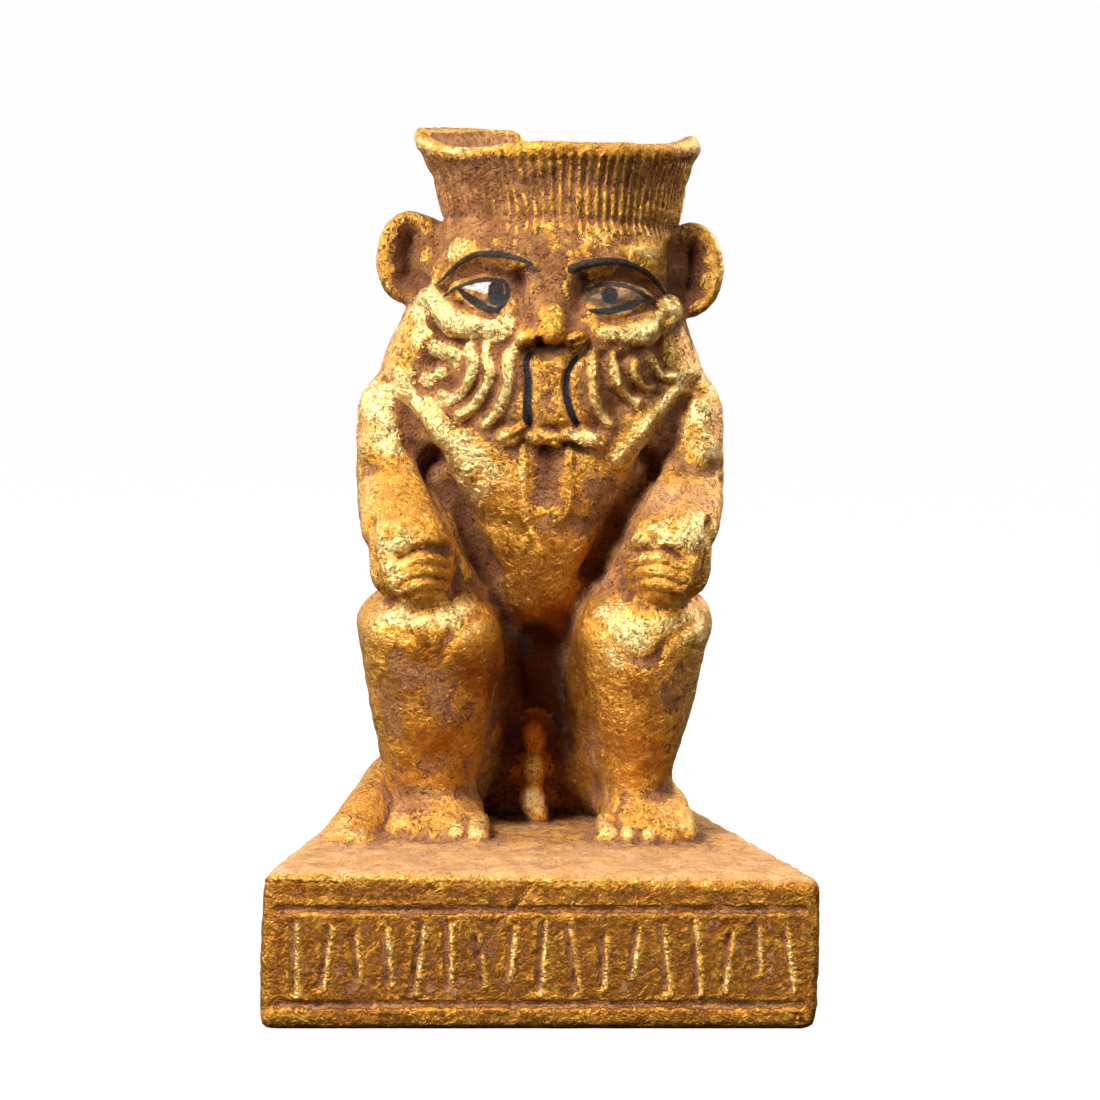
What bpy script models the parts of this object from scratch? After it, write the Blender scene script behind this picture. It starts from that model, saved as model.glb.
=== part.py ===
"""Squatting dwarf-god statue with a flared, ribbed crown, on a tapered plinth, all cast as one solid.

Metres, +Z up. The figure faces -Y, and the origin is the centre of the plinth's underside. The figure's
own forms are written in units of 1/125 of its height, measured from the plinth's top, because a free form
keeps its pose and proportions when its height changes. One unit is 1 mm at the real height.
"""
import math

import bmesh
import bpy
import numpy as np
from mathutils import Matrix, Vector

# Driving sizes, in metres
FIGURE_HEIGHT = 0.125
PLINTH_FRONT_WIDTH = 0.0925
PLINTH_BACK_WIDTH = 0.064
PLINTH_BACK_SHIFT = -0.004    # the back's middle stands to the left of the front's
PLINTH_DEPTH = 0.078
PLINTH_HEIGHT = 0.026
PLINTH_EDGE_RADIUS = 0.0022
PLINTH_TOP_RISE = 0.0012      # the worn top is slightly domed
PLINTH_TOP_DROP = 0.0012      # the top is lower at the right end by this much
PLINTH_LEAN = 0.0010          # how far the top stands to the right of the bottom

FRAME_LINE_WIDTH = 0.0009     # the two lines cut along the plinth's front
FRAME_LINE_DEPTH = 0.0005
FRAME_LINE_FROM_TOP = 0.0058
FRAME_LINE_FROM_BOTTOM = 0.0044
FRAME_LINE_END_MARGIN = 0.0030

MARK_COUNT = 17               # the row of plain strokes between the lines
MARK_WIDTH = 0.0008
MARK_DEPTH = 0.0005
MARK_CLEARANCE = 0.0016       # from a stroke's end to a frame line

CROWN_DISH_DEPTH = 0.0052
CROWN_LIP = 0.0032            # height of the rolled lip round the dish
CROWN_RIB_PITCH = 0.0019
CROWN_RIB_HEIGHT = 0.0005

VOXEL = 0.0008
BODY_TRIANGLES = 5300

# The figure's own unit and its pose
UNIT = FIGURE_HEIGHT / 125
SIDES = (-1, 1)
LEGS = (                      # side, then centre and half-width of haunch, knee, calf, ankle and foot
    (-1, 17.5, 12.5, 19.3, 12.3, 19.5, 10.9, 19.6, 8.0, 18.3, 9.4),
    (1, 12.4, 10.2, 17.9, 11.7, 17.9, 9.2, 16.9, 6.0, 18.9, 9.3),
)
HEAD_SHIFT = 0.8
HEAD_TILT = math.radians(2.5)  # clockwise, seen from the front
CHIN_HEIGHT = 73.0
CROWN_BASE = 107.0
CROWN_TOP = 124.9
CROWN_CENTRE_Y = 7.0
CROWN_DEPTH_RATIO = 0.84


def clear_scene():
    for obj in list(bpy.data.objects):
        bpy.data.objects.remove(obj)


def material(name, rgb, roughness, metallic):
    made = bpy.data.materials.new(name)
    made.use_nodes = True
    shader = made.node_tree.nodes["Principled BSDF"]
    shader.inputs["Base Color"].default_value = (*rgb, 1)
    shader.inputs["Roughness"].default_value = roughness
    shader.inputs["Metallic"].default_value = metallic
    return made


def object_from(bm, name, collection):
    """Moves a bmesh into a new object of the collection."""
    mesh = bpy.data.meshes.new(name)
    bm.to_mesh(mesh)
    bm.free()
    obj = bpy.data.objects.new(name, mesh)
    collection.objects.link(obj)
    return obj


def evaluated_mesh(obj):
    bpy.context.view_layer.update()
    graph = bpy.context.evaluated_depsgraph_get()
    return bpy.data.meshes.new_from_object(obj.evaluated_get(graph))


def apply_modifiers(obj):
    mesh = evaluated_mesh(obj)
    obj.modifiers.clear()
    obj.data = mesh


def head_frame():
    """Turns the head's own upright frame into the figure's, about the chin."""
    chin = Matrix.Translation((HEAD_SHIFT, 0, CHIN_HEIGHT))
    return chin @ Matrix.Rotation(HEAD_TILT, 4, "Y") @ Matrix.Translation((0, 0, -CHIN_HEIGHT))


# Rounded masses


def wrap(bm, *balls, frame=Matrix.Identity(4)):
    """Adds the convex skin round a few ellipsoids, each ((x, y, z), (rx, ry, rz)) in units."""
    added = bmesh.new()
    for centre, radii in balls:
        place = Matrix.Translation(centre) @ Matrix.Diagonal((*radii, 1))
        bmesh.ops.create_icosphere(added, subdivisions=3, radius=1, matrix=place)
    hull = bmesh.ops.convex_hull(added, input=added.verts, use_existing_faces=False)
    inside = set(hull["geom_interior"]) | set(hull["geom_unused"])
    loose = [item for item in inside if isinstance(item, bmesh.types.BMVert)]
    bmesh.ops.delete(added, geom=loose, context="VERTS")
    bmesh.ops.recalc_face_normals(added, faces=added.faces)
    added.transform(frame)
    skin = bpy.data.meshes.new("skin")
    added.to_mesh(skin)
    added.free()
    bm.from_mesh(skin)
    bpy.data.meshes.remove(skin)


def chain(bm, *balls, frame=Matrix.Identity(4)):
    """A bending limb: each ball is wrapped with the next."""
    for first, second in zip(balls, balls[1:]):
        wrap(bm, first, second, frame=frame)


def add_trunk(bm):
    wrap(bm, ((-2, 25, 5), (21, 12, 9)), ((-1, 20, 26), (21, 14, 13)))
    wrap(bm, ((0, 19, 26), (21, 15, 14)), ((0, 15, 70), (23, 14, 14)))
    wrap(bm, ((0.6, 5.5, 55), (12.5, 11, 12)), ((0.6, 6, 44), (10, 11, 9)), ((0.8, 8, 34), (6, 10, 6)))
    wrap(bm, ((-13, 3, 75), (11.5, 11, 9)), ((14, 3, 75), (11.5, 11, 9)), ((0.8, 3.2, 61), (13.5, 10.2, 9)))
    for side in SIDES:
        wrap(bm, ((side * 19.5, 11, 72), (10, 9, 9)), ((side * 17, 9, 44), (11, 11, 10)))
        wrap(bm, ((side * 21, 0, 57), (7, 7, 6)), ((side * 18.5, 0, 44), (9, 8, 7)))
        wrap(bm, ((side * 24, 7, 77), (6, 8, 7)), ((side * 21, 5, 60), (6, 7.5, 8)))


def add_legs(bm):
    for side, haunch_x, haunch, knee_x, knee, calf_x, calf, ankle_x, ankle, foot_x, foot in LEGS:
        cap = ((side * knee_x, -7, 37), (knee, 10, 8.2))
        shin = ((side * calf_x, -3.5, 24.5), (calf, 10, 9))
        joint = ((side * ankle_x, 1.5, 9), (ankle, 8.5, 6))
        wrap(bm, cap, ((side * (knee_x + 1), 5, 38), (knee + 0.8, 12, 8)), ((side * haunch_x, 18, 15), (haunch, 14, 15)))
        chain(bm, cap, shin, joint)
        chain(bm, ((side * ankle_x, 12, 4), (7, 7, 6)), ((side * foot_x, 0, 4), (foot - 1.2, 8, 6.4)),
              ((side * foot_x, -8, 1.8), (foot, 4.5, 3.8)))


def add_arms(bm):
    for side in SIDES:
        wrap(bm, ((side * 24.4, 9.5, 76.5), (8, 10, 7.5)), ((side * 12, 11, 80), (10, 12, 8)))
        wrap(bm, ((side * 26.8, 5.5, 76), (6.2, 8.5, 7.2)), ((side * 27.6, 4, 69.6), (5.4, 8, 4.6)),
             ((side * 25.9, 5, 60.5), (7.1, 8, 7)))
        chain(bm, ((side * 25.4, 7, 60), (7.6, 9, 9)), ((side * 24.6, 0, 60), (8.2, 8, 7.6)),
              ((side * 23.4, -9, 55.4), (7.9, 6.6, 5.8)))
        wrap(bm, ((side * 22.3, -12, 54.6), (7.8, 6.6, 4.6)), ((side * 22.2, -12.5, 47.6), (7.4, 6.6, 5.4)))


def add_head(bm):
    frame = head_frame()
    wrap(bm, ((1, 7.5, 107), (22, 19.5, 8)), ((0, 7, 91), (23, 18, 13)), frame=frame)
    wrap(bm, ((0.6, -1, 104), (19.5, 11, 7)), ((0, -1.5, 88), (19.5, 10.6, 9)), frame=frame)
    wrap(bm, ((0, -1.5, 84), (19.5, 10.8, 8)), ((0, -3, 76.5), (13.5, 8.5, 5.5)), frame=frame)
    wrap(bm, ((0, 13, 97), (20, 14, 11)), ((0, 16, 76), (24, 14, 12)), frame=frame)
    for side in SIDES:
        wrap(bm, ((side * 19 - 0.6, 5, 95), (4.6, 11, 7)), ((side * 22.8 - 0.8, 6, 82), (6.3, 10.5, 8)), frame=frame)


# Smaller forms, added once the masses have been softened together


def add_face(bm):
    frame = head_frame()
    chain(bm, ((0, -9.8, 100), (2.2, 3, 3)), ((0, -13.6, 90.2), (3, 3.6, 3)), frame=frame)
    for side in SIDES:
        wrap(bm, ((side * 3.4, -12.2, 89.2), (2, 2.4, 1.9)), frame=frame)
        chain(bm, ((side * 21, -3.5, 95.2), (2.6, 3.2, 3)), ((side * 15.4, -8.4, 91), (3.2, 4, 3)),
              ((side * 8.4, -10, 90.6), (2.8, 3, 2.5)), frame=frame)


def add_eyes(bm):
    frame = head_frame()
    for side in SIDES:
        wrap(bm, ((side * 12.4, -7, 96.6), (5.6, 2.6, 2.5)), frame=frame)


def add_beard_hem(bm):
    """The scalloped lower edge of the beard."""
    frame = head_frame()
    for x, z in ((-8.6, 71.6), (-4.2, 70.8), (0.6, 71.2), (5, 70.6), (9.4, 71.8)):
        wrap(bm, ((x - 0.8, -7.6, z), (2.6, 2.6, 1.9)), ((x - 0.8, -5, z + 3), (2.4, 2.6, 2)), frame=frame)


def add_ears(bm):
    frame = head_frame()
    for side in SIDES:
        wrap(bm, ((side * 25.2 - 0.4, 3.5, 102.4), (6, 3.2, 8.4)), ((side * 20, 8, 101), (4, 4, 8)), frame=frame)


def add_toes(bm):
    for side, *_, foot_x, foot in LEGS:
        for toe, radius in enumerate((2.3, 1.9, 1.8, 1.7, 1.5)):
            x = side * (foot_x - foot + 2.1 + 3.6 * toe)
            reach = -12.8 + 0.2 * toe * toe
            wrap(bm, ((x, reach, 1.6), (radius, 2, radius)), ((x, reach + 4, 3.4), (radius, 2.5, radius)))


def add_tail(bm):
    """The tail hangs between the heels, with a knot below its root and a tuft that meets the ground."""
    chain(bm, ((-0.6, 10, 23), (2, 3, 2)), ((-1, 6.6, 18.4), (2.8, 2.8, 3)), ((-1, 7, 14.4), (1.7, 2.2, 1.5)),
          ((-1, 6.2, 11.4), (2.5, 2.6, 2.2)), ((-1, 6.4, 8.2), (1.6, 2, 1)), ((-1, 5.6, 5), (3, 3, 2.8)))


def add_spill(bm):
    """The hump of clay that was left beside the right foot, with a knob at its front end."""
    chain(bm, ((-27.6, 14, 5), (5.5, 6, 7.5)), ((-30, 4, 2.8), (5.5, 6, 6.2)), ((-34, -6, 0.2), (5, 5, 4)))
    wrap(bm, ((-33.4, -13, 0.8), (4.8, 3.2, 2.8)))


# Carving strokes


def smooth_line(points, steps=6):
    """Points along a Catmull-Rom curve through the given ones."""
    points = np.array(points, float)
    ends = np.vstack([2 * points[0] - points[1], points, 2 * points[-1] - points[-2]])
    line = [points[0]]
    for a, b, c, d in zip(ends, ends[1:], ends[2:], ends[3:]):
        for t in np.linspace(0, 1, steps + 1)[1:]:
            line.append(0.5 * (2 * b + (c - a) * t + (2 * a - 5 * b + 4 * c - d) * t**2
                               + (3 * b - a - 3 * c + d) * t**3))
    return np.array(line)


def distance_to_line(points, line):
    """The distance of each point to the nearest place on a broken line."""
    nearest = np.full(len(points), np.inf)
    for start, end in zip(line, line[1:]):
        run = end - start
        share = np.clip((points - start) @ run / max(run @ run, 1e-12), 0, 1)
        nearest = np.minimum(nearest, np.linalg.norm(points - start - share[:, None] * run, axis=1))
    return nearest


def read_mesh(mesh):
    points = np.empty(len(mesh.vertices) * 3)
    normals = np.empty(len(mesh.vertices) * 3)
    mesh.vertices.foreach_get("co", points)
    mesh.vertices.foreach_get("normal", normals)
    return points.reshape(-1, 3), normals.reshape(-1, 3)


def carve(mesh, strokes, facing=-1):
    """Moves the surface in or out along strokes seen from the front, or from the back when facing is 1.

    Each stroke is (points, width, height, deepest): its (x, z) points and its width and height in units,
    and the Y behind which it doesn't reach. A negative height cuts in.
    """
    points, normals = read_mesh(mesh)
    front = np.clip(normals[:, 1] * facing * 2.5, 0, 1)
    moved = np.zeros(len(points))
    for path, width, height, deepest in strokes:
        line = smooth_line(path) * UNIT
        near = (points[:, 1] * facing > deepest * UNIT * facing) & (front > 0)
        for axis, column in ((0, 0), (2, 1)):
            near &= points[:, axis] > line[:, column].min() - width * UNIT
            near &= points[:, axis] < line[:, column].max() + width * UNIT
        away = distance_to_line(points[near][:, (0, 2)], line) / (width * UNIT)
        moved[near] += height * UNIT * np.cos(np.clip(away, 0, 1) * math.pi / 2) ** 2 * front[near]
    points += normals * moved[:, None]
    mesh.vertices.foreach_set("co", points.ravel())
    mesh.update()


def in_head(path):
    """Stroke points given in the head's upright frame, moved to the figure's."""
    frame = head_frame()
    moved = [frame @ Vector((x, 0, z)) for x, z in path]
    return [(point.x, point.z) for point in moved]


def hollow_strokes():
    """The sunken eye sockets, the hollows beside the nose and those between the trunk and the arms."""
    strokes = []
    for side in SIDES:
        strokes += [
            (in_head(((side * 18.5, 97.2), (side * 13, 98.6), (side * 7, 97.8))), 4.2, -3.0, 0),
            (in_head(((side * 5.2, 99), (side * 5, 94))), 2.4, -1.6, 0),
            (((side * 28, 80.5), (side * 24.6, 74), (side * 21, 66.5)), 4.0, -4.0, 10),
            (((side * 22, 68), (side * 15.8, 56.5), (side * 11, 45)), 3.4, -3.0, 10),
        ]
    return strokes


def face_strokes():
    """The swags of the beard, the lids and the cheeks' lower edges."""
    locks = (
        ((-16.9, 86), (-16.1, 83.3), (-17, 80.8), (-19.3, 79)),
        ((-13.7, 86), (-12.7, 82.8), (-13.6, 79.6), (-16, 76.6)),
        ((-10.5, 86), (-9.5, 82.4), (-10, 78.5), (-12.5, 74.7)),
        ((-5.6, 86), (-6.6, 82.7), (-7, 78.6), (-9.3, 73.4)),
        ((7.5, 86), (7.7, 81), (8.9, 77), (10.8, 73.6)),
        ((10.6, 86), (11.6, 80.7), (13.3, 78.3), (16, 77.3)),
        ((14.2, 86), (15, 82.2), (16.9, 80.6), (19.2, 80.3)),
    )
    strokes = [(in_head(path), 1.5, 1.5, 2) for path in locks]
    for side in SIDES:
        strokes += [
            (in_head(((side * 3.2, 86.4), (side * 3.2, 80), (side * 3.6, 73.8))), 1.3, -0.7, 0),
            (in_head(((side * 6, 87.4), (side * 12, 86), (side * 18, 87.8), (side * 22, 92))), 1.6, -1.5, 2),
            (in_head(((side * 19.4, 96), (side * 13.4, 99.2), (side * 6.8, 97.8))), 1.2, 0.6, 0),
            (in_head(((side * 18, 95.8), (side * 12, 94), (side * 7, 94.8))), 1.1, 0.4, 0),
            (in_head(((side * 25.4, 106.5), (side * 26, 102.5), (side * 25.2, 98.5))), 4.8, -3.6, 6),
        ]
    return strokes


def body_strokes():
    """The long recess below the beard and the folded fingers."""
    strokes = [
        (((1.1, 68), (1.1, 61)), 4.2, -1.3, 2),
        (((-2.6, 70), (-2.6, 60), (-0.6, 54), (1, 50.5)), 1.5, 0.6, 2),
        (((4.8, 70), (4.8, 60), (3, 56.5), (1.4, 55.6)), 1.3, 0.6, 2),
    ]
    for side in SIDES:
        for z in (54, 50.6, 47.2):
            strokes.append((((side * 26, z - 0.6), (side * 21, z + 0.4), (side * 15, z - 0.4)), 1.4, -1.1, -7))
    return strokes


def back_strokes():
    """The mane's hem across the shoulders, its few broad locks and the line of the spine."""
    hem = [((-25, 80), (-15, 68), (0, 63), (15, 68), (25, 80))]
    locks = [((x, 104), (1.05 * x, 88), (1.1 * x, 66 + 0.02 * x * x)) for x in (-15, -9, -3, 3, 9, 15)]
    spine = [((0, 60), (0, 40), (0, 22))]
    return ([(path, 2.4, -1.4, 8) for path in hem] + [(path, 2.2, -0.8, 8) for path in locks]
            + [(path, 4.0, -1.2, 8) for path in spine])


# The crown


def crown_profile():
    """(radius, height) pairs, in metres, up the outside, over the lip and down into the dish."""
    base, top = CROWN_BASE * UNIT, CROWN_TOP * UNIT
    waist, flare = 21.4 * UNIT, 25.2 * UNIT
    wall = [(waist - 3.5 * UNIT, base - 3 * UNIT), (waist, base + 4 * UNIT),
            (0.7 * waist + 0.3 * flare, 0.45 * base + 0.55 * top), (flare - 0.7 * UNIT, top - CROWN_LIP - 0.6 * UNIT)]
    lip = [(flare + 0.5 * UNIT, top - 0.75 * CROWN_LIP), (flare + 0.7 * UNIT, top - 0.35 * CROWN_LIP),
           (flare - 0.3 * UNIT, top), (flare - 2.2 * UNIT, top - 0.3 * UNIT)]
    bowl = [(flare - 3.6 * UNIT, top - 0.6 * CROWN_DISH_DEPTH), (0.55 * flare, top - CROWN_DISH_DEPTH)]
    return wall + lip + bowl


def rim_wear(x, y):
    """How far the worn rim departs from level, in units: high and broken behind, low at the left of the front."""
    slant = 0.11 * (y - CROWN_CENTRE_Y)
    turn = math.atan2(y - CROWN_CENTRE_Y, x)
    left_front = -1.9 * math.exp(-((turn + 2.35) / 0.42) ** 2)
    right_end = 1.6 * math.exp(-((turn + 0.15) / 0.30) ** 2)
    broken_back = 1.0 - 3.2 / (1 + math.exp((turn - 1.85) / 0.05)) if turn > 0.5 else -2.2 * max(0, turn) / 0.5
    return slant + left_front + right_end + broken_back


def crown_mesh():
    """An oval flared drum with upright ribs round its wall and a shallow dish in its top."""
    profile = crown_profile()
    round_length = math.pi * 21.4 * UNIT * (1 + CROWN_DEPTH_RATIO)
    ribs = max(12, round(round_length / CROWN_RIB_PITCH))
    bm = bmesh.new()
    line = [bm.verts.new((radius, 0, height)) for radius, height in profile]
    edges = [bm.edges.new(pair) for pair in zip(line, line[1:])]
    bmesh.ops.spin(bm, geom=line + edges, cent=(0, 0, 0), axis=(0, 0, 1), angle=2 * math.pi, steps=2 * ribs,
                   use_merge=True, use_duplicate=False)
    bmesh.ops.remove_doubles(bm, verts=bm.verts, dist=1e-6)
    bmesh.ops.holes_fill(bm, edges=[edge for edge in bm.edges if edge.is_boundary], sides=0)
    wall_low, wall_high = profile[0][1], CROWN_TOP * UNIT - CROWN_LIP
    for vertex in bm.verts:
        x, y, z = vertex.co
        radius = math.hypot(x, y)
        outside = radius > 21 * UNIT and wall_low + 1e-6 < z < wall_high
        crest = math.cos(math.atan2(y, x) * ribs)
        grow = 1 + (CROWN_RIB_HEIGHT * crest / radius if outside else 0)
        share = max(0, (z - CROWN_BASE * UNIT) / ((CROWN_TOP - CROWN_BASE) * UNIT))
        lean = 1.5 * UNIT * (1 - share)
        place = Vector((x * grow + lean, y * grow * CROWN_DEPTH_RATIO + CROWN_CENTRE_Y * UNIT, z))
        worn = share * min(1, max(0, radius / UNIT - 15) / 6)
        place.z += rim_wear(place.x / UNIT, place.y / UNIT) * UNIT * worn
        vertex.co = place
    bmesh.ops.recalc_face_normals(bm, faces=bm.faces)
    tilt = head_frame()
    tilt.translation *= UNIT
    bm.transform(tilt)
    return bm


# The plinth


def plinth_span(y):
    """The plinth's half-width and its middle, at a distance along its depth."""
    share = 0.5 - y / PLINTH_DEPTH
    width = PLINTH_BACK_WIDTH + (PLINTH_FRONT_WIDTH - PLINTH_BACK_WIDTH) * share
    return width / 2, PLINTH_BACK_SHIFT * (1 - share)


def plinth_mesh():
    """A block that narrows towards the back and leans a little, with a low dome on top. Its top is at z = 0."""
    bm = bmesh.new()
    bmesh.ops.create_cube(bm, size=1)
    bmesh.ops.subdivide_edges(bm, edges=bm.edges, cuts=5, use_grid_fill=True)
    for vertex in bm.verts:
        x, y, z = vertex.co
        y *= PLINTH_DEPTH
        dome = PLINTH_TOP_RISE * max(0, 1 - 4 * x * x) * max(0, 1 - (2 * y / PLINTH_DEPTH) ** 2)
        top = (dome - PLINTH_TOP_DROP * x) if z > 0.49 else 0
        half, middle = plinth_span(y)
        vertex.co = (2 * x * half + middle + PLINTH_LEAN * z, y, (z - 0.5) * PLINTH_HEIGHT + top)
    return bm


def plinth_object(collection):
    plinth = object_from(plinth_mesh(), "plinth_block", collection)
    bevel = plinth.modifiers.new("Worn edges", "BEVEL")
    bevel.width = PLINTH_EDGE_RADIUS
    bevel.segments = 3
    bevel.angle_limit = math.radians(50)
    apply_modifiers(plinth)
    return plinth


def bar(bm, centre, size, turn=0.0):
    """A straight cutter bar on the plinth's front, turned in the plane of that face."""
    place = Matrix.Translation(centre) @ Matrix.Rotation(turn, 4, "Y") @ Matrix.Diagonal((*size, 1))
    bmesh.ops.create_cube(bm, size=1, matrix=place)


def front_cutters(collection):
    """Cutters for the two frame lines and for the row of plain strokes between them."""
    face_y = -PLINTH_DEPTH / 2
    low = -PLINTH_HEIGHT + FRAME_LINE_FROM_BOTTOM
    high = -FRAME_LINE_FROM_TOP
    run = PLINTH_FRONT_WIDTH - 2 * FRAME_LINE_END_MARGIN
    bm = bmesh.new()
    for z in (low, high):
        bar(bm, (0, face_y, z), (run, 2 * FRAME_LINE_DEPTH, FRAME_LINE_WIDTH))
    tall = high - low - 2 * MARK_CLEARANCE - FRAME_LINE_WIDTH
    for index in range(MARK_COUNT):
        x = run * ((index + 0.5) / MARK_COUNT - 0.5)
        length = tall * (0.62 + 0.38 * math.cos(index * 2.4) ** 2)
        turn = math.radians(8) * math.sin(index * 1.9)
        z = (low + high) / 2 + (tall - length) / 2 * math.sin(index * 3.1)
        bar(bm, (x, face_y, z), (MARK_WIDTH, 2 * MARK_DEPTH, length), turn)
    return object_from(bm, "front_cutters", collection)


def boolean(obj, operation, other):
    modifier = obj.modifiers.new(operation.title(), "BOOLEAN")
    modifier.operation = operation
    modifier.object = other
    modifier.solver = "EXACT"
    apply_modifiers(obj)
    bpy.data.objects.remove(other)


# Putting it together


def fuse(obj, voxel, softness):
    """Merges overlapping masses into one skin and rounds its creases over about the given distance."""
    remesh = obj.modifiers.new("Fuse", "REMESH")
    remesh.mode = "VOXEL"
    remesh.voxel_size = voxel
    smooth = obj.modifiers.new("Soften", "SMOOTH")
    smooth.factor = 0.5
    smooth.iterations = max(1, round(2 * (softness / voxel) ** 2))
    apply_modifiers(obj)


def add_to(obj, *makers):
    """Adds more forms, made in units, to an object that is already in metres."""
    bm = bmesh.new()
    for maker in makers:
        maker(bm)
    bm.transform(Matrix.Scale(UNIT, 4))
    bm.from_mesh(obj.data)
    bm.to_mesh(obj.data)
    bm.free()


def body_object(collection):
    body = object_from(bmesh.new(), "body", collection)
    add_to(body, add_trunk, add_legs, add_arms, add_head)
    fuse(body, VOXEL, 1.9 * UNIT)
    carve(body.data, hollow_strokes())
    add_to(body, add_face, add_eyes, add_beard_hem, add_ears, add_toes, add_tail, add_spill)
    fuse(body, VOXEL, 0.8 * UNIT)
    carve(body.data, face_strokes() + body_strokes())
    carve(body.data, back_strokes(), facing=1)
    thin = body.modifiers.new("Fewer faces", "DECIMATE")
    triangles = sum(len(face.vertices) - 2 for face in body.data.polygons)
    thin.ratio = min(1, BODY_TRIANGLES / triangles)
    apply_modifiers(body)
    return body


def build():
    clear_scene()
    scene = bpy.context.scene.collection
    parts = bpy.data.collections.new("Dwarf god statue")
    scene.children.link(parts)
    statue = body_object(parts)
    statue.name = "statue"
    boolean(statue, "UNION", object_from(crown_mesh(), "crown", parts))
    plinth = plinth_object(parts)
    boolean(plinth, "DIFFERENCE", front_cutters(parts))
    boolean(statue, "UNION", plinth)
    statue.data.transform(Matrix.Translation((0, 0, PLINTH_HEIGHT)))
    statue.data.materials.clear()
    statue.data.materials.append(material("Gilded clay", (0.55, 0.33, 0.10), 0.45, 0.6))
    statue.data.shade_smooth()
    statue.data.set_sharp_from_angle(angle=math.radians(40))


build()
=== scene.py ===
# %% [markdown]
# A small squatting dwarf god, moulded in clay by hand and covered with gold leaf. It has a flared crown,
# a lion's face with a beard in curled locks, fists on bent knees, and a block to stand on. This lesson
# models the whole figure as one skin, the way clay is, and then paints its gold, bare clay and black
# lines with nodes. The real one stands about 15 cm tall.

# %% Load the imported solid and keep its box
import math

import bmesh
import bpy
import numpy as np
from mathutils import Matrix, Vector, noise


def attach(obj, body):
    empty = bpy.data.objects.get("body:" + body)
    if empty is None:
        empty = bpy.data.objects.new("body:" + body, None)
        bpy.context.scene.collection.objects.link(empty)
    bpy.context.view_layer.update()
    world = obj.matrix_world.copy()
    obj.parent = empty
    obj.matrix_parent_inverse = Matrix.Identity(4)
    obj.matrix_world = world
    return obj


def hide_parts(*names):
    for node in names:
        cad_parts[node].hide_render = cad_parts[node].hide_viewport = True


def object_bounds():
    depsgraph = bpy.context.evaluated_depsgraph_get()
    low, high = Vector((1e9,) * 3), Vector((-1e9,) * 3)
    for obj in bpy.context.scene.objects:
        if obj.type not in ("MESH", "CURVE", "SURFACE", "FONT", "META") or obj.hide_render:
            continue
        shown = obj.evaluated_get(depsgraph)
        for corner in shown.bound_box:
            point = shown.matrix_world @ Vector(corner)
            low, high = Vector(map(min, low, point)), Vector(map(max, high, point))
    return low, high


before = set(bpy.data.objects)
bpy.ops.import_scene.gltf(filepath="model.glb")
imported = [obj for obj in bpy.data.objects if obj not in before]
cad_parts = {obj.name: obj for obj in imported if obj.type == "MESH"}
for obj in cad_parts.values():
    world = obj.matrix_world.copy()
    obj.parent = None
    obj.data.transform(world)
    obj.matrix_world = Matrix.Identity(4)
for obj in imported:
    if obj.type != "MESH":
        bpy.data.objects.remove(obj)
CAD_BOX = [list(corner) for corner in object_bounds()]
print("solid's box in mm:", [[round(1000 * v, 1) for v in corner] for corner in CAD_BOX])

# %% [markdown]
# Everything below is written in millimetres, measured from the top of the block the figure stands on,
# because that is how a modeller would hold a ruler to it. One number turns millimetres into Blender's
# metres at the end.

# %% Sizes of the real thing
MM = 0.001
PLINTH_TALL = 26.0
PLINTH_DEEP = 78.0
PLINTH_FRONT = 92.5
PLINTH_BACK = 64.0
# how far its top bulges, tips and is pushed to one side at the back, and how far its edges are rounded
PLINTH_DOME, PLINTH_TIP, PLINTH_SHIFT, PLINTH_ROUND = 1.2, 1.2, 4, 2.0
SIDES = (-1, 1)
CHIN_X, CHIN = 0.8, 73.0
HEAD_LEAN = math.radians(2.5)
# voxels of the first and second skins, and the distances over which they are softened
COARSE, COARSE_SOFTNESS = 0.8, 1.9
FINE, FINE_SOFTNESS = 0.36, 0.7
CROWN_BASE, CROWN_TOP = 107.0, 124.9
# the crown's middle lies this far back, it is flatter from front to back, and its foot is off to one side
CROWN_Y, CROWN_FLAT, CROWN_LEAN = 7, 0.84, 1.5
# side, then the middle and half-width of haunch, knee, calf, ankle and foot
LEGS = (
    (-1, 17.5, 12.5, 19.3, 12.3, 19.5, 10.9, 19.6, 8.0, 18.3, 9.4),
    (1, 12.4, 10.2, 17.9, 11.7, 17.9, 9.2, 16.9, 6.0, 18.9, 9.3),
)

# %% [markdown]
# Clay figures are built from balls and sausages pressed together. A wrap is the tight skin round a few
# stretched balls, and a chain wraps each ball with the next, which gives a limb that bends. Convex hulls
# are quick and never leave a hole, so they are better here than lofted tubes.

# %% Wraps and chains


def pour(source, bm):
    """Adds all of one bmesh to another and frees it."""
    skin = bpy.data.meshes.new("skin")
    source.to_mesh(skin)
    source.free()
    bm.from_mesh(skin)
    bpy.data.meshes.remove(skin)


def wrap(bm, *balls, turn=Matrix.Identity(4)):
    """Adds the tight skin round a few ellipsoids, each ((x, y, z), (rx, ry, rz))."""
    added = bmesh.new()
    for centre, radii in balls:
        place = Matrix.Translation(centre) @ Matrix.Diagonal((*radii, 1))
        bmesh.ops.create_icosphere(added, subdivisions=4, radius=1, matrix=place)
    hull = bmesh.ops.convex_hull(added, input=added.verts, use_existing_faces=False)
    inside = set(hull["geom_interior"]) | set(hull["geom_unused"])
    bmesh.ops.delete(added, geom=[v for v in inside if isinstance(v, bmesh.types.BMVert)], context="VERTS")
    bmesh.ops.recalc_face_normals(added, faces=added.faces)
    added.transform(turn)
    pour(added, bm)


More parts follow.
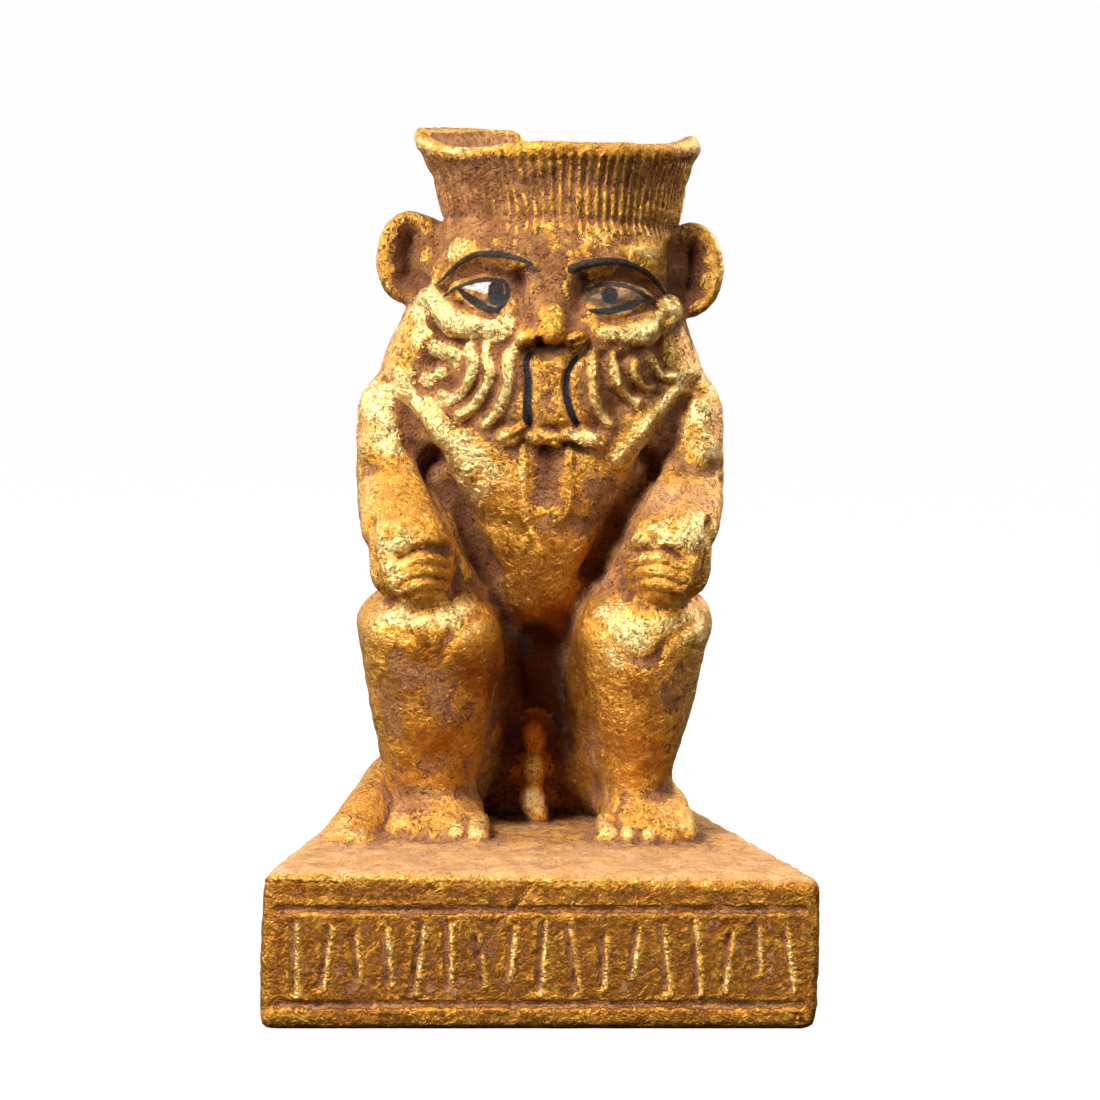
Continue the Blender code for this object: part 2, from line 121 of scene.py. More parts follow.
def chain(bm, *balls, turn=Matrix.Identity(4)):
    """Wraps each ball with the next, which gives a limb that bends."""
    for first, second in zip(balls, balls[1:]):
        wrap(bm, first, second, turn=turn)


# %% [markdown]
# The head leans a little to one side, as a thing made by eye does. Its features are therefore placed in
# the head's own upright frame and turned together about the chin.

# %% The head's lean
CHIN_TURN = Matrix.Translation((CHIN_X, 0, CHIN)) @ Matrix.Rotation(HEAD_LEAN, 4, "Y")
HEAD = CHIN_TURN @ Matrix.Translation((0, 0, -CHIN))


def in_head(path):
    """Front-view points (x, z) of the upright head, turned with it."""
    turned = [HEAD @ Vector((x, 0, z)) for x, z in path]
    return [(point.x, point.z) for point in turned]


# %% [markdown]
# First come the big masses: the trunk with its heavy back, the folded legs, the arms that run down to the
# knees, and the wide head. They are the same masses as in the part's solid, so the two agree in size.

# %% Trunk and legs


def add_trunk(bm):
    wrap(bm, ((-2, 25, 5), (21, 12, 9)), ((-1, 20, 26), (21, 14, 13)))
    wrap(bm, ((0, 19, 26), (21, 15, 14)), ((0, 15, 70), (23, 14, 14)))
    wrap(bm, ((0.6, 5.5, 55), (12.5, 11, 12)), ((0.6, 7.4, 45), (9.6, 11, 8.5)), ((0.8, 13, 34), (6, 9, 6)))
    wrap(bm, ((-13, 3, 75), (11.5, 11, 9)), ((14, 3, 75), (11.5, 11, 9)), ((0.8, 3.2, 61), (13.5, 10.2, 9)))
    for s in SIDES:
        wrap(bm, ((s * 19.5, 11, 72), (10, 9, 9)), ((s * 17, 9, 44), (11, 11, 10)))
        wrap(bm, ((s * 21, 0, 57), (7, 7, 6)), ((s * 18.5, 0, 44), (9, 8, 7)))
        wrap(bm, ((s * 24, 7, 77), (6, 8, 7)), ((s * 21, 5, 60), (6, 7.5, 8)))


def add_legs(bm):
    for s, haunch_x, haunch, knee_x, knee, calf_x, calf, ankle_x, ankle, foot_x, foot in LEGS:
        cap = ((s * knee_x, -7, 37), (knee, 10, 8.2))
        shin = ((s * calf_x, -3.5, 24.5), (calf, 10, 9))
        joint = ((s * ankle_x, 1.5, 9), (ankle, 8.5, 6))
        thigh = ((s * (knee_x + 1), 5, 38), (knee + 0.8, 12, 8))
        wrap(bm, cap, thigh, ((s * haunch_x, 18, 15), (haunch, 14, 15)))
        chain(bm, cap, shin, joint)
        chain(bm, ((s * ankle_x, 12, 4), (7, 7, 6)), ((s * foot_x, 0, 4), (foot - 1.2, 8, 6.4)),
              ((s * foot_x, -8, 1.8), (foot, 4.5, 3.8)))


# %% Arms and head


def add_arms(bm):
    for s in SIDES:
        wrap(bm, ((s * 24.4, 9.5, 76.5), (8, 10, 7.5)), ((s * 12, 11, 80), (10, 12, 8)))
        wrap(bm, ((s * 26.8, 5.5, 76), (6.2, 8.5, 7.2)), ((s * 27.6, 4, 69.6), (5.4, 8, 4.6)),
             ((s * 25.9, 5, 60.5), (7.1, 8, 7)))
        chain(bm, ((s * 25.4, 7, 60), (7.6, 9, 9)), ((s * 24.6, 0, 60), (8.2, 8, 7.6)),
              ((s * 23.4, -9, 55.4), (7.9, 6.6, 5.8)))
        wrap(bm, ((s * 22.3, -12, 54.6), (7.8, 6.6, 4.6)), ((s * 22.2, -12.5, 47.6), (7.4, 6.6, 5.4)))


def add_head(bm):
    wrap(bm, ((1, 7.5, 107), (22, 19.5, 8)), ((0, 7, 91), (23, 18, 13)), turn=HEAD)
    wrap(bm, ((0.6, -1, 104), (19.5, 11, 7)), ((0, -1.5, 88), (19.5, 10.6, 9)), turn=HEAD)
    wrap(bm, ((0, -1.5, 84), (19.5, 10.8, 8)), ((0, -3, 76.5), (13.5, 8.5, 5.5)), turn=HEAD)
    wrap(bm, ((0, 13, 97), (20, 14, 11)), ((0, 16, 76), (24, 14, 12)), turn=HEAD)
    for s in SIDES:
        wrap(bm, ((s * 19 - 0.6, 5, 95), (4.6, 11, 7)), ((s * 22.8 - 0.8, 6, 82), (6.3, 10.5, 8)), turn=HEAD)


# %% [markdown]
# A remesh turns the pile of overlapping skins into one, and a smooth rounds the creases where they meet,
# as a wet thumb would. The voxel is coarse here, and gets finer once the small forms go on.

# %% Fusing the masses into one skin


def put_in_scene(name, data):
    """A new object that shows the given mesh, lamp or lens."""
    obj = bpy.data.objects.new(name, data)
    bpy.context.scene.collection.objects.link(obj)
    return obj


def apply_all(obj):
    """Makes the modifiers' result the object's own mesh."""
    bpy.context.view_layer.update()
    graph = bpy.context.evaluated_depsgraph_get()
    mesh = bpy.data.meshes.new_from_object(obj.evaluated_get(graph))
    obj.modifiers.clear()
    obj.data = mesh


def fuse(obj, voxel, softness):
    """Merges what overlaps and softens it over about the given distance. Both are in mm."""
    remesh = obj.modifiers.new("Fuse", "REMESH")
    remesh.mode = "VOXEL"
    remesh.voxel_size = voxel * MM
    smooth = obj.modifiers.new("Thumb", "SMOOTH")
    smooth.factor = 0.5
    smooth.iterations = max(1, round(2 * (softness / voxel) ** 2))
    apply_all(obj)


def add_to(obj, *makers):
    """Adds to an object what each maker builds in millimetres."""
    bm = bmesh.new()
    for maker in makers:
        maker(bm)
    bm.transform(Matrix.Scale(MM, 4))
    bm.from_mesh(obj.data)
    bm.to_mesh(obj.data)
    bm.free()


statue = put_in_scene("gilded_figure", bpy.data.meshes.new("gilded_figure"))
add_to(statue, add_trunk, add_legs, add_arms, add_head)
fuse(statue, COARSE, COARSE_SOFTNESS)
print("masses:", len(statue.data.vertices), "points")

# %% [markdown]
# Details are pressed in or raised with strokes. A stroke is a smooth line in the front view with a width,
# and every point of the skin near it moves along its own normal: out for a ridge, in for a groove. That
# is how a wooden tool works on clay, and it needs no extra faces.

# %% The modelling tool


def smooth_line(points, steps=6):
    """Points along a smooth curve through the given ones."""
    points = np.array(points, float)
    if len(points) == 1:
        return np.vstack([points, points])
    ends = np.vstack([2 * points[0] - points[1], points, 2 * points[-1] - points[-2]])
    line = [points[0]]
    for a, b, c, d in zip(ends, ends[1:], ends[2:], ends[3:]):
        for t in np.linspace(0, 1, steps + 1)[1:]:
            line.append(0.5 * (2 * b + (c - a) * t + (2 * a - 5 * b + 4 * c - d) * t**2
                               + (3 * b - a - 3 * c + d) * t**3))
    return np.array(line)


def away_from(points, line, widths=None):
    """Each point's distance to a broken line, less the line's own half-width there."""
    nearest = np.full(len(points), 1e3)
    if widths is None:
        widths = np.zeros(len(line))
    for start, end, wide, wide_end in zip(line, line[1:], widths, widths[1:]):
        run = end - start
        share = np.clip((points - start) @ run / max(run @ run, 1e-12), 0, 1)
        away = np.linalg.norm(points - start - share[:, None] * run, axis=1)
        nearest = np.minimum(nearest, away - wide - (wide_end - wide) * share)
    return nearest


def near_line(view, line, margin):
    """Which front-view points lie in the line's own box, widened by a margin."""
    return np.all((view > line.min(axis=0) - margin) & (view < line.max(axis=0) + margin), axis=1)


def skin_of(obj):
    """The points in mm and the normals of an object's mesh, as arrays."""
    mesh = obj.data
    points = np.empty(len(mesh.vertices) * 3)
    normals = np.empty(len(mesh.vertices) * 3)
    mesh.vertices.foreach_get("co", points)
    mesh.vertices.foreach_get("normal", normals)
    return points.reshape(-1, 3) / MM, normals.reshape(-1, 3)


def move_skin(obj, points):
    """Puts the mesh's points at new places, given in mm."""
    obj.data.vertices.foreach_set("co", (points * MM).ravel())
    obj.data.update()


def press(obj, strokes, facing=-1):
    """Each stroke is its points, its width, its height, and the Y behind which it doesn't reach."""
    points, normals = skin_of(obj)
    front = np.clip(normals[:, 1] * facing * 2.5, 0, 1)
    moved = np.zeros(len(points))
    view = points[:, (0, 2)]
    for path, width, height, deepest in strokes:
        line = smooth_line(path)
        near = (points[:, 1] * facing > deepest * facing) & (front > 0) & near_line(view, line, width)
        away = away_from(view[near], line) / width
        moved[near] += height * np.cos(np.clip(away, 0, 1) * math.pi / 2) ** 2 * front[near]
    move_skin(obj, points + normals * moved[:, None])


# %% [markdown]
# The eye sockets and the deep hollows between trunk and arms are pressed in first, while the clay is
# still plain, so that the eyes and cheeks can be laid on top of them.

# %% Hollows
hollows = []
for s in SIDES:
    hollows += [
        (in_head(((s * 18.5, 97.2), (s * 13, 98.6), (s * 7, 97.8))), 4.2, -3.0, 0),
        (in_head(((s * 5.2, 99), (s * 5, 94))), 2.4, -1.6, 0),
        (((s * 27.5, 80), (s * 23.4, 74.5), (s * 19.4, 67)), 3.2, -1.5, 10),
        (((s * 19.4, 67), (s * 14.6, 57.5), (s * 9, 47)), 2.8, -2.8, 10),
    ]
press(statue, hollows)
print("hollows pressed:", len(hollows))

# %% [markdown]
# The smaller forms are pellets of clay: the nose, the swollen cheeks, the eyeballs, round lion's ears,
# toes, the tail that hangs between the heels, and a spill of clay that was never cleaned off beside one
# foot.

# %% Face, ears, toes and tail


def add_face(bm):
    chain(bm, ((-0.4, -7.6, 101), (2.8, 2.6, 3)), ((0, -10.2, 93.5), (3.2, 3, 3)),
          ((0.6, -13, 90), (3.2, 3.2, 2.6)), turn=HEAD)
    for s in SIDES:
        wrap(bm, ((s * 3.9 + 0.6, -12.2, 89), (2.3, 2.6, 1.9)), turn=HEAD)
        chain(bm, ((s * 21.2, -3, 94.6), (2.3, 2.6, 3)), ((s * 16.2, -7, 90.8), (3.2, 3.4, 3)),
              ((s * 9.4, -8.8, 90), (2.4, 2.6, 2.2)), turn=HEAD)
        wrap(bm, ((s * 12.4, -7, 96.6), (5.6, 2.6, 2.5)), turn=HEAD)
        wrap(bm, ((s * 25.2 - 0.4, 3.5, 102.4), (6, 3.2, 8.4)), ((s * 20, 8, 101), (4, 4, 8)), turn=HEAD)
    folds = ((-6.4, 71.4), (-3.8, 73.6), (-2.9, 75)), ((-1.4, 72), (1.6, 71.2)), ((4.4, 72.4), (8.8, 71.2))
    for fold in folds:
        chain(bm, *[((x, -7.6, z), (2.3, 2.3, 1.9)) for x, z in fold], turn=HEAD)


def add_toes(bm):
    for s, *_, foot_x, foot in LEGS:
        for toe, radius in enumerate((2.1, 1.7, 1.6, 1.5, 1.3)):
            x = s * (foot_x - foot + 2.1 + 3.6 * toe)
            reach = -12.4 + 0.2 * toe * toe
            wrap(bm, ((x, reach, 1.6), (radius, 2, radius)), ((x, reach + 4, 3.4), (radius, 2.5, radius)))


def add_tail_and_spill(bm):
    tuft = ((-1.4, 5.8, 5.6), (2.6, 2.6, 2.2))
    chain(bm, ((-0.6, 10, 23), (2, 3, 2)), ((-1, 6.6, 18.4), (2.8, 2.8, 3)), ((-1, 7, 14.4), (1.7, 2.2, 1.5)),
          ((-1, 6.2, 11.4), (2.5, 2.6, 2.2)), ((-1, 6.4, 8.2), (1.6, 2, 1)), tuft)
    wrap(bm, tuft, ((-0.4, 5.4, 2.2), (1.9, 2.2, 1.6)))
    chain(bm, ((-27.6, 14, 5), (5.5, 6, 7.5)), ((-30, 4, 2.8), (5.5, 6, 6.2)), ((-34, -6, 0.2), (5, 5, 4)))
    wrap(bm, ((-33.4, -13, 0.8), (4.8, 3.2, 2.8)))


# %% [markdown]
# The crown is an oval drum that flares upward to a rolled lip, with a shallow dish inside. Spinning a
# profile gives it, then the rim is bent: low at the front left, chipped away behind, as the real one is
# worn.

# %% The crown


def rim_wear(x, y):
    """How far the worn rim departs from level. The turn is 0 at the right end and 1.57 behind."""
    slant = 0.11 * (y - CROWN_Y)
    turn = math.atan2(y - CROWN_Y, x)
    left_front = -1.9 * math.exp(-((turn + 2.35) / 0.42) ** 2)
    right_end = 1.6 * math.exp(-((turn + 0.15) / 0.30) ** 2)
    low = -2.9 * min(1, max(0, turn) / 0.5)
    high = 1.0 + 1.0 * math.exp(-((turn - 2.15) / 0.45) ** 2)
    step = 1 / (1 + math.exp((1.85 - turn) / 0.06)) if turn > 0.5 else 0
    return slant + left_front + right_end + low + (high - low) * step


def spun(profile, steps, weld):
    """A new bmesh: a profile of (radius, height) turned once round the vertical."""
    bm = bmesh.new()
    line = [bm.verts.new((radius, 0, height)) for radius, height in profile]
    edges = [bm.edges.new(pair) for pair in zip(line, line[1:])]
    bmesh.ops.spin(bm, geom=line + edges, cent=(0, 0, 0), axis=(0, 0, 1), angle=2 * math.pi, steps=steps,
                   use_merge=True, use_duplicate=False)
    bmesh.ops.remove_doubles(bm, verts=bm.verts, dist=weld)
    return bm


def add_crown(bm):
    wall = [(17.9, 104), (21.4, 111), (22.54, 116.85), (24.5, 121.1)]
    lip = [(25.4, 122.2), (25.7, 123.6), (24.9, 124.9), (23.4, 124.7)]
    bowl = [(21.6, 121.8), (13.9, 119.7)]
    drum = spun(wall + lip + bowl, steps=180, weld=1e-3)
    bmesh.ops.holes_fill(drum, edges=[edge for edge in drum.edges if edge.is_boundary], sides=0)
    for vertex in drum.verts:
        x, y, z = vertex.co
        share = max(0, (z - CROWN_BASE) / (CROWN_TOP - CROWN_BASE))
        worn = share * min(1, max(0, math.hypot(x, y) - 15) / 6)
        place = Vector((x + CROWN_LEAN * (1 - share), CROWN_FLAT * y + CROWN_Y, z))
        place.z += rim_wear(place.x, place.y) * worn
        vertex.co = place
    bmesh.ops.recalc_face_normals(drum, faces=drum.faces)
    drum.transform(HEAD)
    pour(drum, bm)


# %% [markdown]
# The block underneath narrows towards the back and leans a little. A cube with a few cuts is bent into
# that shape, and the low dome on top comes from the same move. Its edges get round when the skin is
# fused.

# %% The block


def add_plinth(bm):
    block = bmesh.new()
    bmesh.ops.create_cube(block, size=1)
    bmesh.ops.subdivide_edges(block, edges=block.edges, cuts=5, use_grid_fill=True)
    for vertex in block.verts:
        x, y, z = vertex.co
        y *= PLINTH_DEEP
        share = 0.5 - y / PLINTH_DEEP
        half = (PLINTH_BACK + (PLINTH_FRONT - PLINTH_BACK) * share) / 2
        dome = PLINTH_DOME * max(0, 1 - 4 * x * x) * max(0, 1 - (2 * y / PLINTH_DEEP) ** 2)
        top = dome - PLINTH_TIP * x if z > 0.49 else 0
        vertex.co = (2 * x * half - PLINTH_SHIFT * (1 - share) + z, y, (z - 0.5) * PLINTH_TALL + top)
    corners = [edge for edge in block.edges if edge.calc_face_angle(0) > 0.9]
    bmesh.ops.bevel(block, geom=corners, offset=PLINTH_ROUND, segments=4, profile=0.5, affect="EDGES")
    bmesh.ops.recalc_face_normals(block, faces=block.faces)
    pour(block, bm)


add_to(statue, add_face, add_toes, add_tail_and_spill, add_crown, add_plinth)
fuse(statue, FINE, FINE_SOFTNESS)
print("one skin:", len(statue.data.vertices), "points")

# %% [markdown]
# Now the face. The locks of the beard curl outward from the moustache like the ribs of a fan, the cheeks
# hang over them as two crescents, and two deep lines run down beside the mouth. The brows, lids and the
# beard's scalloped hem are raised only a hair's breadth, since on the real one the paint itself stands a
# little proud.

# %% Lines of the face, in the head's upright frame
BROWS = {
    "left": ((-20.3, 97.2), (-17.3, 100.3), (-13.6, 102.6), (-9.7, 102.9), (-5.9, 102.2), (-3.1, 101.3)),
    "right": ((3.5, 100.9), (7.3, 102.1), (11.8, 102.5), (15.7, 101.4), (18.9, 99.3), (20.9, 96.6)),
}
LIDS = {
    "left": ((-18.6, 95.4), (-15.8, 97.1), (-12.3, 98.3), (-8.9, 98.4), (-7.8, 98)),
    "right": ((6.5, 97.6), (9.2, 98.5), (13, 98.4), (16.2, 97.1), (18.9, 96)),
}
MOUTH = {
    "left": ((-3.3, 86.0), (-3.7, 84.4), (-3.2, 81.3), (-3.2, 77), (-2.4, 73.6)),
    "right": ((5.1, 85.7), (3.6, 83), (3.4, 81.3), (4.1, 77), (5.6, 73.9)),
}
LOCKS = (
    ((-13.6, 86.3), (-13, 84.7), (-12.7, 82.7), (-13.3, 80.6), (-14.6, 78.8), (-16.3, 77.5), (-17.9, 77.6)),
    ((-10.8, 86.2), (-10.4, 84.5), (-9.8, 82.4), (-10.2, 80.3), (-11.3, 78.2), (-12.6, 76.4), (-14.7, 74.9)),
    ((-5.1, 88), (-6.2, 86.1), (-6.9, 84.3), (-6.7, 81.5), (-7, 79.1), (-7.8, 76.6), (-8.9, 74.8),
     (-10.2, 73.4)),
    ((7.7, 86.7), (7.9, 84.3), (7.9, 81.8), (8.2, 79.1), (9.1, 77), (10.6, 75), (11.5, 74.3)),
    ((11.3, 86), (11.6, 84.1), (12, 82), (13, 80.3), (14.5, 79), (15.9, 78.3)),
    ((15, 85.6), (15.1, 83.5), (15.9, 81.8), (17.2, 80.8), (18.4, 80.9)),
    ((17.8, 86.4), (18.9, 84.7), (20.4, 83.2), (22.1, 83.1)),
)
CURLS = (((-19.3, 86.1), (-17.0, 85.7)), ((-20.6, 80.8), (-18.7, 81.9)))
CHEEKS = {
    "left": ((-22.3, 94.8), (-20, 91), (-15.6, 88), (-10.3, 87.3), (-5.8, 89.1)),
    "right": ((5.6, 89.3), (9.2, 86.9), (14.5, 87.2), (18.8, 89.8), (20.9, 94.5)),
}
HEM = ((-6.7, 71.5), (-4.9, 72.4), (-2.8, 73.8), (-1.4, 73.1), (0, 71.7), (2.1, 72.1), (3.5, 71.4),
       (4.9, 71.5), (7, 70.7), (9.1, 71), (10.2, 72.8))

# %% Pressing the face
face = [(in_head(path), 1.85 if path[0][0] < 0 else 1.5, 1.25, 2) for path in LOCKS]
face += [(in_head(path), 2.6, 1.3, 4) for path in CURLS]
for side in ("left", "right"):
    s = -1 if side == "left" else 1
    face += [
        (in_head(BROWS[side]), 1.1, 0.35, 0),
        (in_head(LIDS[side]), 1.0, 0.45, 0),
        (in_head(MOUTH[side]), 1.3, -0.8, 0),
        (in_head([(x, z - 0.9) for x, z in CHEEKS[side]]), 1.5, -0.6, 2),
        (in_head(((s * 16, 95.2), (s * 12, 93.4), (s * 7.4, 94.2))), 1.0, 0.4, 0),
        (in_head(((s * 24.9 - 0.4, 105.6), (s * 25.3 - 0.4, 102.5), (s * 24.9 - 0.4, 99.4))), 5.0, -4.6, 6),
    ]
face += [
    (in_head(((-1.6, 88.0),)), 1.0, -0.9, -8),
    (in_head(((4.1, 87.6),)), 1.0, -0.9, -8),
    (in_head([(x, z - 1.2) for x, z in HEM]), 1.0, -0.5, 2),
]
press(statue, face)
print("face strokes:", len(face))

# %% [markdown]
# The body has a long narrow recess below the beard with a raised edge, a band over the chest, and fists
# whose fingers are four ridges one above the other. Round pits in the hands' backs are where the leaf and
# a little clay have come away. Finger ridges are made by pressing the grooves between them.

# %% Pressing the body
body = [
    (((1.1, 68), (1.1, 61)), 3.4, -1.5, 2),
    (((-2.9, 70), (-3.0, 60), (-1.6, 55.4), (0.2, 51.0)), 1.0, 0.6, 2),
    (((4.9, 70), (5.2, 60.6), (4.4, 58.0), (2.6, 56.6)), 0.95, 0.6, 2),
    (((-26.4, 38.6), (-21.6, 37.4), (-18.2, 33.6), (-15.6, 37.2), (-10.2, 41.4)), 1.9, -0.7, -2),
    (((10.6, 39.0), (14.2, 34.2), (18.4, 32.8), (23.2, 37.4), (27.4, 39.4)), 1.9, -0.7, -2),
    (((-27.6, 80.1), (-24.1, 79.4), (-20.3, 75.2), (-16.5, 71), (-13, 65.8)), 2.0, 0.7, 4),
    (((27.6, 80.1), (24.1, 79.4), (20.3, 75.2), (16.5, 71), (13, 67.5)), 2.0, 0.5, 4),
]
for s in SIDES:
    for z, wide, deep in ((52.2, 1.5, -1.7), (49.6, 0.9, -0.6), (47.2, 1.0, -0.8), (44.8, 0.9, -0.5)):
        crease = ((s * 24.4, z - 1.0), (s * 21, z + 0.3), (s * 17, z + 0.1), (s * 15.0, z - 0.9))
        body.append((crease, wide, deep, -10))
    body.append((((s * 29.4, 57), (s * 29.2, 51), (s * 27.6, 45.6), (s * 25.4, 43.2)), 1.6, -1.1, -6))
    body.append((((s * 14.2, 55.5), (s * 13.6, 50), (s * 15.0, 43.8)), 1.3, -0.9, -6))
    body.append((((s * 33, 66.5), (s * 28, 65.6), (s * 24.5, 66.8)), 1.8, -0.35, 6))
press(statue, body)
print("body strokes:", len(body))

# %% Round pits


def dimple(obj, spots):
    """Pushes a round pit into the skin at each (x, z, radius, depth), where the front view meets it."""
    points, normals = skin_of(obj)
    for x, z, wide, deep in spots:
        seen = np.hypot(points[:, 0] - x, points[:, 2] - z) < 0.6
        centre = points[seen][np.argmin(points[seen][:, 1])]
        away = np.linalg.norm(points - centre, axis=1) / wide
        points -= normals * (deep * np.cos(np.clip(away, 0, 1) * math.pi / 2) ** 2)[:, None]
    move_skin(obj, points)


PITS = (
    (-23.4, 57.6, 1.5, 0.8), (-19.9, 57.9, 1.4, 0.7), (-26.6, 55.2, 1.6, 0.8), (19.1, 54.9, 1.7, 0.9),
    (23.3, 56.6, 2.0, 0.9), (25.4, 42.0, 0.8, 0.9), (-12.2, 23.2, 2.2, 0.3),
)
dimple(statue, PITS)
print("pits:", len(PITS))

# %% [markdown]
# The back was never meant to be looked at closely: the lion's mane falls in a few broad locks to a
# scalloped hem across the shoulders, and one shallow line marks the spine.

# %% Pressing the back
back = [
    (((-25, 80), (-15, 68), (0, 63), (15, 68), (25, 80)), 2.4, -1.4, 8),
    (((0, 60), (0, 40), (0, 22)), 4, -1.2, 8),
]
for x in (-15, -9, -3, 3, 9, 15):
    back.append((((x, 104), (1.05 * x, 88), (1.1 * x, 66 + 0.02 * x * x)), 2.2, -0.8, 8))
press(statue, back, facing=1)
print("back strokes:", len(back))

# %% [markdown]
# The crown's wall is ribbed like a bundle of feathers, about one rib every 1.4 mm. No two ribs are alike
# on the real one, so each takes its own height, and they fade out where the crown meets the brow.

# %% Ribs round the crown
RIBS = 88
RIBS_FOOT, RIBS_TOP, WALL_RADIUS = 106.6, 120.9, 21.4
points, normals = skin_of(statue)
unturn = np.array(HEAD.inverted())
upright = points @ unturn[:3, :3].T + unturn[:3, 3]
across = (upright[:, 1] - CROWN_Y) / CROWN_FLAT
lean = CROWN_LEAN * (1 - np.clip((upright[:, 2] - CROWN_BASE) / (CROWN_TOP - CROWN_BASE), 0, 1))
turn = np.arctan2(across, upright[:, 0] - lean)
radius = np.hypot(across, upright[:, 0] - lean)
wobble = np.array([noise.noise((4 * t, 0.13 * z, 0)) for t, z in zip(turn, upright[:, 2])])
phase = turn * RIBS + 1.6 * wobble
rib_height = 0.18 + 0.06 * np.sin(np.floor(phase / (2 * math.pi)) * 2.4) + 0.003 * upright[:, 0]
fade = np.clip((upright[:, 2] - RIBS_FOOT) / 3.0, 0, 1) * np.clip(RIBS_TOP - upright[:, 2], 0, 1)
fade *= (radius > 19.5) & (normals[:, 2] < 0.6)
move_skin(statue, points + normals * (rib_height * np.cos(phase) * fade)[:, None])
print("ribs:", RIBS, "about", round(math.pi * WALL_RADIUS * (1 + CROWN_FLAT) / RIBS, 2), "mm apart")

# %% [markdown]
# Two lines frame the block's front, and between them stands a row of plain strokes. They are pressed like
# the rest, only narrower, and one long scratch runs across the upper line.

# %% Lines on the block's front
MARKS = 17
ROW_WIDE, ROW_TALL, ROW_MIDDLE = 86.5, 11.7, -13.7
NOT_BEHIND = -34
frame_lines = [(((-43.2, z), (0, z), (43.2, z)), 0.9, -0.6, NOT_BEHIND) for z in (-21.6, -5.8)]
scratch = (((-11.4, -14.6), (-1.6, -1.9)), 0.6, -0.25, NOT_BEHIND)
marks = []
for index in range(MARKS):
    middle = ROW_WIDE * ((index + 0.5) / MARKS - 0.5)
    long = ROW_TALL * (0.62 + 0.38 * math.cos(index * 2.4) ** 2)
    lean_by = math.radians(8) * math.sin(index * 1.9)
    height = ROW_MIDDLE + (ROW_TALL - long) / 2 * math.sin(index * 3.1)
    reach = Vector((math.sin(lean_by), math.cos(lean_by))) * long / 2
    ends = ((middle - reach.x, height - reach.y), (middle + reach.x, height + reach.y))
    marks.append((ends, 0.8, -0.6, NOT_BEHIND))
press(statue, [*frame_lines, *marks, scratch])
print("marks:", len(marks))

# %% [markdown]
# Nothing moulded by hand is smooth. Soft lumps of a few millimetres and finer dents go over the whole
# skin, and only the block's underside stays flat. They are real geometry, because they move the outline
# too.

# %% Lumps of the clay
points, normals = skin_of(statue)
lumps = np.array([0.26 * noise.noise(p * 0.17) + 0.16 * noise.noise(p * 0.42) + 0.07 * noise.noise(p * 1.1)
                  for p in map(Vector, points)])
underside = np.abs(normals[:, 2]) * (points[:, 2] < 1 - PLINTH_TALL)
move_skin(statue, points + normals * (lumps * (1 - underside))[:, None])
print("lumps in mm:", round(float(lumps.min()), 2), "to", round(float(lumps.max()), 2))

# %% [markdown]
# Where the clay stands proud the leaf gets burnished bright, and in the hollows it never took or has
# fallen away. The hollows are also painted darker, as shade, and the crests lighter, partly as painted
# light. How far each point stands above its surroundings is measured now, while the points are evenly
# spread. Averaging every point with its neighbours again and again gives those surroundings.

# %% How far each point stands proud
points, normals = skin_of(statue)
edges = np.empty(len(statue.data.edges) * 2, int)
statue.data.edges.foreach_get("vertices", edges)
edges = edges.reshape(-1, 2)
joins = np.bincount(edges.ravel(), minlength=len(points))


def softened(values, rounds):
    """Values on the skin, each averaged with its neighbours a number of times."""
    for _ in range(rounds):
        total = np.zeros_like(values)
        for column in range(values.shape[1]):
            total[:, column] = (np.bincount(edges[:, 0], values[edges[:, 1], column], len(points))
                                + np.bincount(edges[:, 1], values[edges[:, 0], column], len(points)))
        values = total / joins[:, None]
    return values


def keep_map(name, values):
    """Stores one number for each point as a named attribute of the mesh."""
    statue.data.attributes.new(name, "FLOAT", "POINT").data.foreach_set("value", values.astype(np.float32))


NEAR_ROUNDS, WIDE_ROUNDS = 14, 110
near_level = softened(points, NEAR_ROUNDS)
wide_level = softened(near_level, WIDE_ROUNDS)
relief = {
    "proud": ((points - near_level) * normals).sum(axis=1),
    "broad": ((points - wide_level) * normals).sum(axis=1),
}
for name, values in relief.items():
    keep_map(name, values)
    print(name, "in mm:", np.round(np.percentile(values, (5, 50, 95)), 3))

# %% [markdown]
# The skin has more points than it needs on the broad surfaces. Collapsing edges thins it there and keeps
# the face and crown, which a vertex group protects. Then the figure is stood on the floor and kept inside
# the solid's box.

# %% Thinning and standing it up
TRIANGLES = 196_000
# how firmly the face and crown, the block's front and the rest are kept
FIRM, MIDDLING, LOOSE = 1.0, 0.75, 0.35
# mm between the skin and the solid's box
INSIDE = 0.01
group = statue.vertex_groups.new(name="keep")
keep = (points[:, 2] > 68) & (points[:, 1] < 8) & (normals[:, 1] < 0.3)
block_front = (points[:, 2] < -1) & (normals[:, 1] < -0.5)
for where_kept, firmness in ((keep, FIRM), (~keep, LOOSE), (block_front, MIDDLING)):
    group.add(np.nonzero(where_kept)[0].tolist(), firmness, "REPLACE")
triangles = sum(len(face.vertices) - 2 for face in statue.data.polygons)
thin = statue.modifiers.new("Thin", "DECIMATE")
thin.ratio = min(1, TRIANGLES / triangles)
thin.use_collapse_triangulate = True
thin.vertex_group = "keep"
thin.invert_vertex_group = True
apply_all(statue)
statue.vertex_groups.clear()
points, normals = skin_of(statue)
points[:, 2] += PLINTH_TALL
low, high = (np.array(corner) / MM for corner in CAD_BOX)
move_skin(statue, np.clip(points, low + INSIDE, high - INSIDE))
statue.data.shade_smooth()
points, normals = skin_of(statue)
points[:, 2] -= PLINTH_TALL
print("triangles:", triangles, "thinned to", len(statue.data.polygons))
